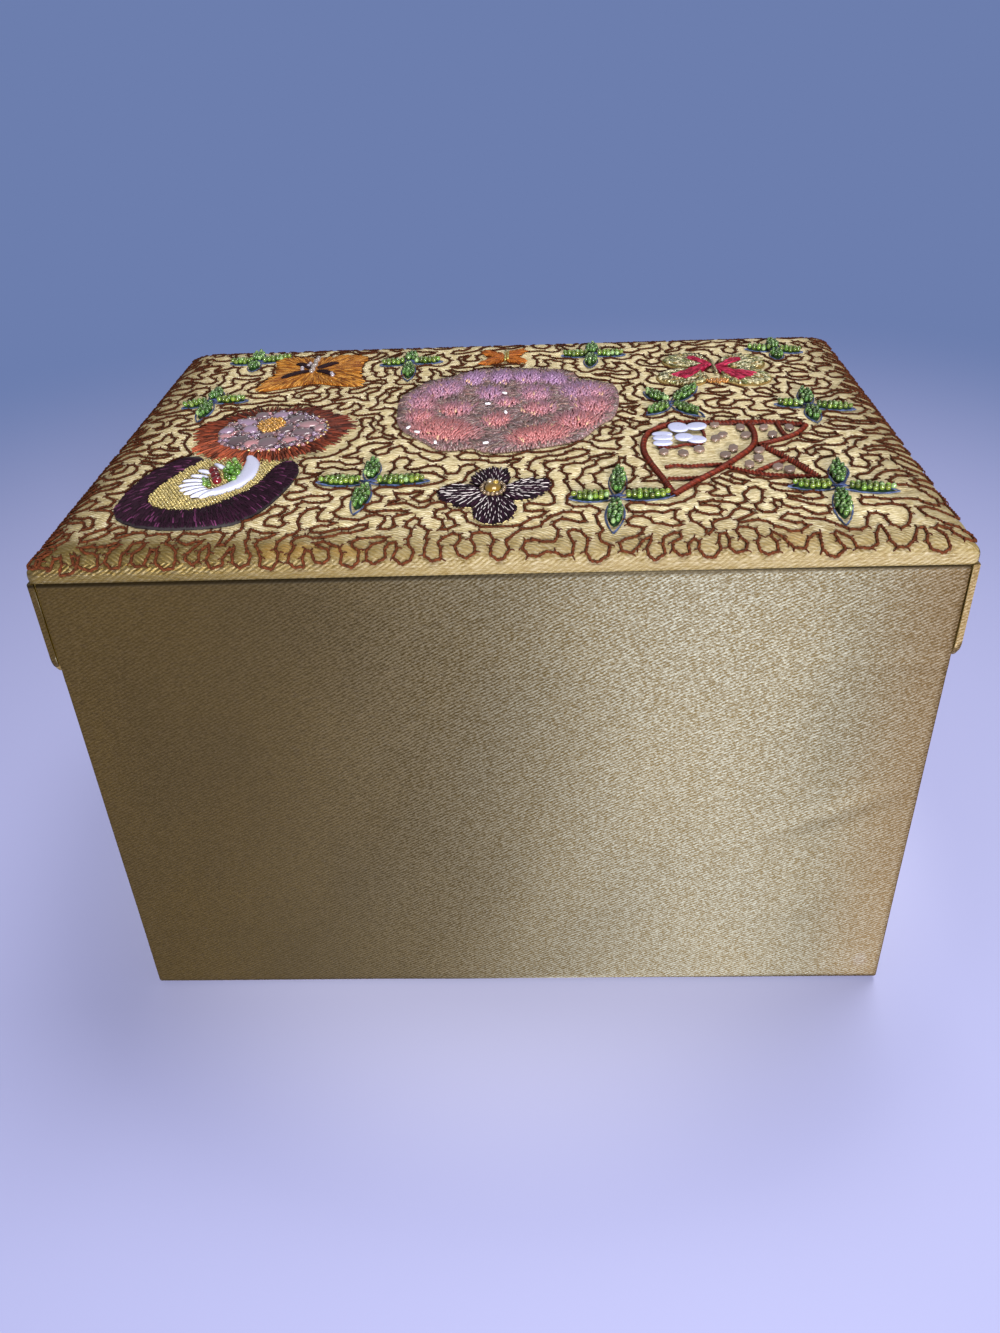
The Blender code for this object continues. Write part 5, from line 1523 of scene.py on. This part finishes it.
def ribbon_cloth(name):
    finish = Finish(name, roughness=0.42, metallic=0.3)
    u, v = finish.cloth()
    rib = (v * (math.tau / 0.7)).sine()
    weave = finish.noise(finish.vector(u * 2.0, v * 5.0, 0.0), 1.0, 2.0)
    ground = finish.mix((rib * 0.5 + 0.5) * 0.4, linear(196, 160, 92), linear(132, 98, 44))
    ground = finish.mix(weave.between(0.45, 0.7) * 0.4, ground, linear(226, 198, 138))
    return finish.show(base_color=ground, normal=finish.bump(rib + weave, 0.5, 0.00012))


def board_paper(name, colour):
    finish = Finish(name, roughness=0.85)
    place = finish.solid()
    fibre = finish.noise(place, 420.0, 4.0, 0.7)
    ground = finish.mix(fibre.between(0.35, 0.7), colour, tuple(0.72 * c for c in colour))
    return finish.show(base_color=ground, normal=finish.bump(fibre, 0.4, 0.0002))


def mirror_glass():
    finish = Finish("mirror glass", metallic=1.0)
    haze = finish.noise(finish.solid(), 26.0, 3.0)
    colour = finish.mix(haze.between(0.4, 0.9), linear(226, 230, 232), linear(202, 208, 210))
    return finish.show(base_color=colour, roughness=haze.between(0.55, 0.9) * 0.05 + 0.02)


BEDDING = threads("bead bedding", roughness=0.75)
COUCHED = threads("couched cord", roughness=0.85, specular_ior_level=0.12)
FLOSS = threads("silk floss", roughness=0.5, specular_ior_level=0.14)
PETAL_GLASS = beads("petal bugles", roughness=0.4, coat_weight=0.2, coat_roughness=0.15)
SMOKE_GLASS = beads("smoke glass", roughness=0.16, coat_weight=0.6, coat_roughness=0.06)
CLEAR_GLASS = beads("clear glass", roughness=0.1, coat_weight=0.8, coat_roughness=0.04)
GOLD_GLASS = beads("gold glass", roughness=0.22, metallic=0.25, coat_weight=0.6, coat_roughness=0.06)
PLUM_SILK = threads("plum silk", roughness=0.6, specular_ior_level=0.08)
GREEN_GLASS = beads("green glass", roughness=0.14, specular_ior_level=0.4, coat_weight=0.5,
                    coat_roughness=0.05)
SHELL = beads("white shell", roughness=0.3, coat_weight=0.3, coat_roughness=0.15)
ROSE = velvet("rose velvet", linear(150, 62, 74), linear(104, 34, 46))
RIBBON = ribbon_cloth("gold ribbon")
BOARD = board_paper("grey board", linear(150, 138, 122))
FELT = board_paper("base felt", linear(96, 86, 80))
MIRROR = mirror_glass()
BRAID = threads("gold braid", roughness=0.35, metallic=0.5)
# Painted shade: the rear wall's satin is the side satin's cloth painted much darker, with a painted crease
# shadow
SHADED_REAR_SATIN = wall_satin("wall satin", linear(68, 51, 5), linear(60, 44, 4), 1.0)
WALL_SATIN = wall_satin("side satin", linear(136, 114, 66), linear(116, 95, 50))


def box_of(node):
    low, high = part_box(node)
    return np.array(low), np.array(high)


def softened(node, material, slot, body, round_off, cells=0.006, ending="_velvet"):
    """A cloth-covered board in the room of its node, with rounded edges."""
    low, high = box_of(node)
    span = high - low
    edges = np.minimum(round_off, span * 0.45)
    axes = []
    for size, edge, start in zip(span, edges, low):
        rounding = edge * (1 - np.cos(np.linspace(0, math.pi / 2, 4)))
        cuts = max(2, int(round(size / cells)) + 1)
        middle = np.linspace(edge, size - edge, cuts + 1)[1:-1]
        axes.append(start + np.concatenate([rounding, middle, (size - rounding)[::-1]]))
    heap = Heap()
    for axis in range(3):
        first, second = (a for a in range(3) if a != axis)
        s, t = np.meshgrid(axes[first], axes[second], indexing="ij")
        quads = quads_over(numbered(*s.shape))[:, OTHER_WAY]
        for end, far in ((low[axis], False), (high[axis], True)):
            points = np.empty((*s.shape, 3))
            points[..., first], points[..., second], points[..., axis] = s, t, end
            core = np.clip(points, low + edges, high - edges)
            offset = (points - core) / edges
            length = np.linalg.norm(offset, axis=-1, keepdims=True)
            strongest = np.abs(offset).max(-1, keepdims=True)
            rounding = np.where(length > TINY, strongest / np.maximum(length, TINY), 1.0)
            points = core + offset * edges * rounding
            heap.add(points, [quads if far == (axis != 1) else quads[:, ::-1]], (1, 1, 1))
    mesh = heap.mesh(node + ending)
    weld(mesh)
    cloth_map(mesh)
    finish_piece(node + ending, mesh, material, slot, node, body=body)


def weld(mesh):
    """Join points that lie together, and turn all faces outwards."""
    shape = bmesh.new()
    shape.from_mesh(mesh)
    bmesh.ops.remove_doubles(shape, verts=shape.verts, dist=1e-6)
    bmesh.ops.recalc_face_normals(shape, faces=shape.faces)
    shape.to_mesh(mesh)
    shape.free()


def cloth_mesh(name, rows, turned=False, caps=(), mapped=True):
    """A sheet of cloth through equal rows of points. Where caps close its ends, its seams are welded."""
    heap = Heap()
    points, quads = lofted(rows)
    heap.add(points, [quads[:, ::-1] if turned else quads, *caps], (1, 1, 1))
    mesh = heap.mesh(name)
    if caps:
        weld(mesh)
    if mapped:
        cloth_map(mesh)
    return mesh


def level_row(path, inwards, level):
    """Points at a level, so far inwards from a line in plan."""
    return joined(*(path - outward(path) * np.reshape(inwards, (-1, 1))).T, level)


def build_body_satin():
    """The satin round the right, front and left walls, with its hem over their top edge."""
    path = side_path(BODY_X, BODY_FRONT, BODY_CORNER, HALF_Y - 0.0083)
    along = run_along(path)
    profile = [(0.0024, WALL_FOOT - 0.0001), (0.0005, WALL_FOOT - 0.0001), (0.00008, 0.0022)]
    for level in np.arange(0.0034, WALL_TOP - 0.001, 0.003):
        profile.append((0.00008 - waves(along, level, 0.00005, 0.08), level))
    for inwards, drop in ((0.00006, 0.0004), (0.0004, 0), (0.0036, 0), (0.0039, 0.0004), (0.0040, 0.0022)):
        profile.append((inwards, WALL_TOP - drop))
    mesh = cloth_mesh("body_satin", [level_row(path, *place) for place in profile], turned=True)
    cover = finish_piece("body_satin", mesh, WALL_SATIN, "gold_satin", "body_cover", body="box")


def build_skirt():
    """The lid's skirt: satin over board round three sides, its lower rear corners rounded."""
    low, high = box_of("skirt_right")
    thick, radius, top = high[0] - low[0], 0.008, LID_LOW.z - 0.00012
    path = side_path(HALF_X, -HALF_Y, FRONT_CORNER, HALF_Y, 0.0025)
    ends = np.array([(HALF_X, HALF_Y), (HALF_X, HALF_Y - 0.0003), (HALF_X, HALF_Y - 0.0008)])
    path = np.concatenate([ends, path[1:-1], (ends * (-1, 1))[::-1]])
    drop = np.clip(path[:, 1] - (HALF_Y - radius), 0, radius)
    foot = low[2] + radius - np.sqrt(radius ** 2 - drop ** 2)
    pinch = np.zeros(len(path))
    pinch[[0, -1]], pinch[[1, -2]] = 0.00015, 0.00004
    rows = []
    for share in np.linspace(1, 0, 14):
        level = mixed(foot + 0.0012, top, share)
        swell = waves(path.sum(1), level, 0.00006, 0.07) * min(1, share * 4) * (pinch == 0)
        rows.append(level_row(path, pinch - swell + 0.00003, level))
    for inwards, rise in ((0.00015, 0.0006), (0.0006, 0.00012), (thick / 2, 0.0), (thick - 0.0006, 0.00012),
                          (thick - 0.00015, 0.0006), (thick, 0.0012)):
        rows.append(level_row(path, np.clip(inwards, pinch, thick - pinch), foot + rise))
    for share in (0.5, 1.0):
        rows.append(level_row(path, thick - pinch, mixed(foot + 0.0012, top, share)))
    number = numbered(len(rows), len(path))
    mesh = cloth_mesh("skirt_satin", rows + rows[:1], caps=[number[::-1, :1].T, number[:, -1:].T])
    finish_piece("skirt_satin", mesh, [WALL_SATIN, SHADED_REAR_SATIN], "gold_satin", "skirt_right", "skirt_left",
                 "skirt_front")
    for face in mesh.polygons:
        face.use_smooth = len(face.vertices) < 6
        # The end of the skirt on the +x side takes the rear satin that is painted darker as shade
        face.material_index = int(face.center.y > HALF_Y - 0.0012 and face.center.x > 0)


def build_hinge_strip():
    """The cloth inside the box that closes the gap under the lid's hinge."""
    low, high = box_of("hinge_lining")
    y, z = high[1] - 0.0003, high[2] - 0.0003
    levels = np.concatenate([np.linspace(low[2], z - 0.0012, 10), np.linspace(z - 0.0012, z, 26)[1:]])
    depths = np.concatenate([np.linspace(y, y - 0.0022, 26)[1:], np.linspace(y - 0.0022, low[1], 8)[1:]])
    line = np.concatenate([joined(y, levels), joined(depths, z)])
    mesh = cloth_mesh("hinge_strip", [joined(np.linspace(low[0], high[0], 60), *place) for place in line])
    strip = finish_piece("hinge_strip", mesh, RIBBON, "gold_satin", "hinge_lining", body=None)
    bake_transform(strip)


def turned(points, angle):
    """Points (y, z) turned with the lid about the hinge."""
    return HINGE + rotated(points - HINGE, angle)


def build_stays():
    """The ribbons that stop the lid, built folded as they hang when it is closed, from the straight line that
    they take when it is open.
    """
    opening = -math.radians(frame["joints"][0]["range_deg"][1])
    low_level, high_level, count = 0.1668, 0.1748, 160
    on_box = np.array((0.0100, 0.1632))
    way = turned(np.array((0.0, 0.1769)), opening) - on_box
    for node in ("stay_ribbon_right", "stay_ribbon_left"):
        low, high = box_of(node)
        x = (low[0] + high[0]) / 2
        rows = []
        for offset in np.linspace(-0.0026, 0.0026, 5):
            chord = on_box + left_of(way) * offset + way * np.linspace(0, 1, count)[:, None]
            least, most = np.zeros(count), np.ones(count)
            for _ in range(40):
                weight = (least + most) / 2
                rest = turned(chord, -weight * opening)
                share = ramp(rest[:, 1], low_level, high_level - low_level)
                more = share * share * (3 - 2 * share) > weight
                least, most = np.where(more, weight, least), np.where(more, most, weight)
            rows.append(joined(x, *rest.T))
        mesh = cloth_mesh(node + "_cloth", rows)
        ribbon = finish_piece(node + "_cloth", mesh, RIBBON, "gold_ribbon", node, body=None)
        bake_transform(ribbon)


def build_linings():
    for node in ("lining_floor", "lining_front", "lining_rear", "lining_left", "lining_right"):
        softened(node, ROSE, "rose_velvet", "box", 0.0007)
    for node in ("tray_ledge_front", "tray_ledge_rear"):
        softened(node, ROSE, "grey_board", "box", 0.0009)
    softened("lid_lining", ROSE, "rose_velvet", "lid", 0.0009)
    softened("mirror", MIRROR, "mirror_glass", "lid", 0.0005, cells=0.02, ending="_plate")


def build_mirror_braid():
    """Three gold strands plaited round the mirror."""
    low, high = box_of("mirror_braid")
    width, corner, reach = 0.004, 0.006, 0.0008
    middle, half = (low + high) / 2, (high - low - width)[:2] / 2 - corner
    line = []
    for quarter, sides in enumerate(((1, 1), (-1, 1), (-1, -1), (1, -1))):
        angle = np.radians(np.linspace(0, 90, 7) + quarter * 90)
        line.append(half * sides + corner * joined(np.cos(angle), np.sin(angle)))
    line = smooth_line(np.concatenate(line) / MM, 0.6, closed=True, rounds=0) * MM
    run = np.arange(len(line)) * math.tau / len(line) * 150
    side = left_of(np.roll(line, -1, 0) - np.roll(line, 1, 0))
    angles = np.arange(8)[:, None] * math.tau / 8
    out = np.cos(angles) * joined(*side.T, 0.0)[:, None] + np.sin(angles) * (0, 0, 1.0)
    heap = Heap()
    for strand in range(3):
        phase = run + strand * math.tau / 3
        path = line + side * (np.sin(phase) * 0.0011)[:, None] + middle[:2]
        centre = joined(*path.T, middle[2] + 0.0003 + np.sin(2 * phase) * 0.00028)
        rings = centre[:, None] + out * reach
        points, quads = lofted(np.concatenate([rings, rings[:1]]), closed=True)
        heap.add(points, [quads], np.repeat(varied(linear(206, 166, 84), len(rings) + 1), 8, 0))
    finish_piece("mirror_plait", heap, BRAID, "gold_braid", "mirror_braid")


def build_ring_roll(node, index):
    low, high = box_of(node)
    radius = (high[1] - low[1]) / 2
    turn = np.linspace(0, math.pi, 15)
    side = joined(-radius, (low[2], low[2] + 0.006, high[2] - radius - 0.002))
    top = joined(-radius * np.cos(turn), high[2] - radius + radius * np.sin(turn))
    profile = np.concatenate([side, top, (side * (-1, 1))[::-1]])
    rows = []
    for x in np.linspace(low[0], high[0], 40):
        squeeze = 1 - 0.18 * bulge(min(x - low[0], high[0] - x), 0, 0.0022)
        dent = 1 - 0.02 * np.sin(x * 900 + index)
        y = (low[1] + high[1]) / 2 + profile[:, 0] * squeeze * dent * 0.985
        rows.append(joined(x, y, low[2] + (profile[:, 1] - low[2]) * (1 - (1 - squeeze) * 0.35)))
    number = numbered(len(rows), len(profile))
    mesh = cloth_mesh(node + "_velvet", rows, caps=[number[:1, ::-1], number[-1:]], mapped=False)
    roll = finish_piece(node + "_velvet", mesh, ROSE, "rose_velvet", node, body="till")


def build_till():
    for node in ("till_floor", "till_front", "till_rear", "till_left", "till_right", "till_divider_cross",
                 "till_divider_long"):
        softened(node, ROSE, "rose_velvet", "till", 0.0008)
    for index in range(1, 5):
        build_ring_roll(f"ring_roll_{index}", index)
    ribbon_loop("till_tab", "till", thin=0, upward=True)
    ribbon_loop("pull_tab", "lid", thin=1, upward=False)


def ribbon_loop(node, body, thin, upward):
    """A folded ribbon tab: two layers that part a little in a loop at the free end."""
    name = node + "_ribbon"
    low, high = box_of(node)
    wide = 1 - thin
    length, gap = high[2] - low[2], (high[thin] - low[thin]) / 2
    legs = np.linspace(0, length - gap, 9)
    turn = np.linspace(0, math.pi, 9)[1:-1]
    leg = joined(-gap * 0.55 - gap * 0.4 * np.sin(math.pi * legs / length), legs)
    loop = joined(-gap * np.cos(turn) * 0.95, length - gap + gap * np.sin(turn))
    profile = np.concatenate([leg, loop, (leg * (-1, 1))[::-1]])
    rows = []
    for share in np.linspace(0, 1, 9):
        row = np.empty((len(profile), 3))
        row[:, thin] = (low[thin] + high[thin]) / 2 + profile[:, 0]
        row[:, wide] = low[wide] + (high[wide] - low[wide]) * share
        row[:, 2] = low[2] + profile[:, 1] if upward else high[2] - profile[:, 1]
        rows.append(row)
    tab = finish_piece(name, cloth_mesh(name, rows), RIBBON, "gold_ribbon", node, body=body)
    thicken = tab.modifiers.new("cloth", "SOLIDIFY")
    thicken.thickness = 0.0002
    thicken.offset = 1.0


def dress_nodes():
    """Better finishes for the rigid pieces that stay as they are."""
    boards = ("base_board", "front_wall", "rear_wall", "left_wall", "right_wall", "lid_board")
    for node, finish in (("base_sheet", FELT), *((board, BOARD) for board in boards)):
        mesh = frame["nodes"][node].data
        mesh.materials.clear()
        mesh.materials.append(finish)


# Stage

# The longer side of the picture and the camera's focal length, in pixels
SPAN_OF_PHOTO = 1333.0
FOCAL = 1071.65
# Name, place, diameter and power of each lamp
LAMPS = (("key", (-0.325, 1.60, 0.52), 0.45, 64.0), ("far", (-0.35, -0.45, 1.85), 1.0, 27.0))


def in_scene(name, data):
    made = bpy.data.objects.new(name, data)
    bpy.context.scene.collection.objects.link(made)
    return made


def build_floor():
    mesh = bpy.data.meshes.new("floor")
    mesh.from_pydata([(-60, -60, 0), (60, -60, 0), (60, 60, 0), (-60, 60, 0)], [], [(0, 1, 2, 3)])
    floor = in_scene("floor", mesh)
    floor.location.z = -0.0002
    finish = Finish("floor", roughness=0.6)
    place = finish.solid()
    cloud = finish.noise(place, 1.5, 2.0)
    distance = finish.node("ShaderNodeVectorMath", {"operation": "LENGTH"}, {0: place}, "Value")
    pale = finish.mix(cloud, linear(150, 153, 196), linear(145, 148, 190))
    # Painted light: the floor is painted lighter near the box, against the box's shadow
    finish.show(base_color=finish.mix(distance.between(0.11, 0.2), linear(184, 186, 224), pale))
    seen = finish.node("ShaderNodeLightPath", None, None, "Is Camera Ray")
    far_off = (*linear(108, 126, 174), 1.0)
    glow = finish.node("ShaderNodeEmission", None, {"Color": far_off, "Strength": 1.0})
    surface = Link(finish, finish.shader.outputs[0])
    haze = distance.between(0.2, 0.85) * seen
    blend = finish.node("ShaderNodeMixShader", None, {0: haze, 1: surface, 2: glow})
    finish.tree.links.new(blend.socket, finish.tree.nodes["Material Output"].inputs[0])
    mesh.materials.append(finish.material)


def build_lights():
    """A window low behind the viewer, a ceiling lamp over the far side, and the light of the room."""
    world = bpy.data.worlds.new("room")
    world.use_nodes = True
    room = world.node_tree.nodes["Background"].inputs
    room["Color"].default_value = (0.83, 0.83, 0.85, 1.0)
    room["Strength"].default_value = 0.36
    bpy.context.scene.world = world
    for name, place, size, power in LAMPS:
        lamp = bpy.data.lights.new(name, "AREA")
        lamp.shape, lamp.size, lamp.energy = "DISK", size, power
        lamp.color = (1.0, 0.985, 0.96)
        holder = in_scene(name, lamp)
        holder.location = place
        holder.rotation_euler = (Vector((0, 0, 0.1)) - Vector(place)).to_track_quat("-Z", "Y").to_euler()


def build_camera():
    """The photo's own view, from a fit to the corners of the lid and the rear wall."""
    data = bpy.data.cameras.new("camera")
    data.sensor_width = 36.0
    data.lens = 36.0 * FOCAL / SPAN_OF_PHOTO
    data.clip_start = 0.01
    camera = in_scene("camera", data)
    pitch, yaw, roll = (math.radians(angle) for angle in (33.71, -2.63, -2.49))
    ahead = Vector((-math.sin(yaw) * math.cos(pitch), -math.cos(yaw) * math.cos(pitch), -math.sin(pitch)))
    level = Vector((-math.cos(yaw), math.sin(yaw), 0.0))
    down = ahead.cross(level)
    c, s = math.cos(roll), math.sin(roll)
    right, up = c * level - s * down, -s * level - c * down
    place = Vector((-0.01284, HALF_Y + 0.27655, 0.33115))
    camera.matrix_world = Matrix.Translation(place) @ Matrix((right, up, -ahead)).transposed().to_4x4()
    bpy.context.scene.camera = camera
    bpy.context.scene.view_settings.view_transform = "Standard"


def main():
    build_floor()
    build_lights()
    build_camera()
    dress_nodes()
    build_satin_cover()
    build_cords()
    build_peony()
    build_rosette()
    build_crescent()
    build_wing()
    build_fish()
    build_orange_butterfly()
    build_beaded_butterfly()
    build_small_flower()
    build_pansy()
    build_sprigs()
    build_body_satin()
    build_skirt()
    build_hinge_strip()
    build_stays()
    build_linings()
    build_mirror_braid()
    build_till()


main()
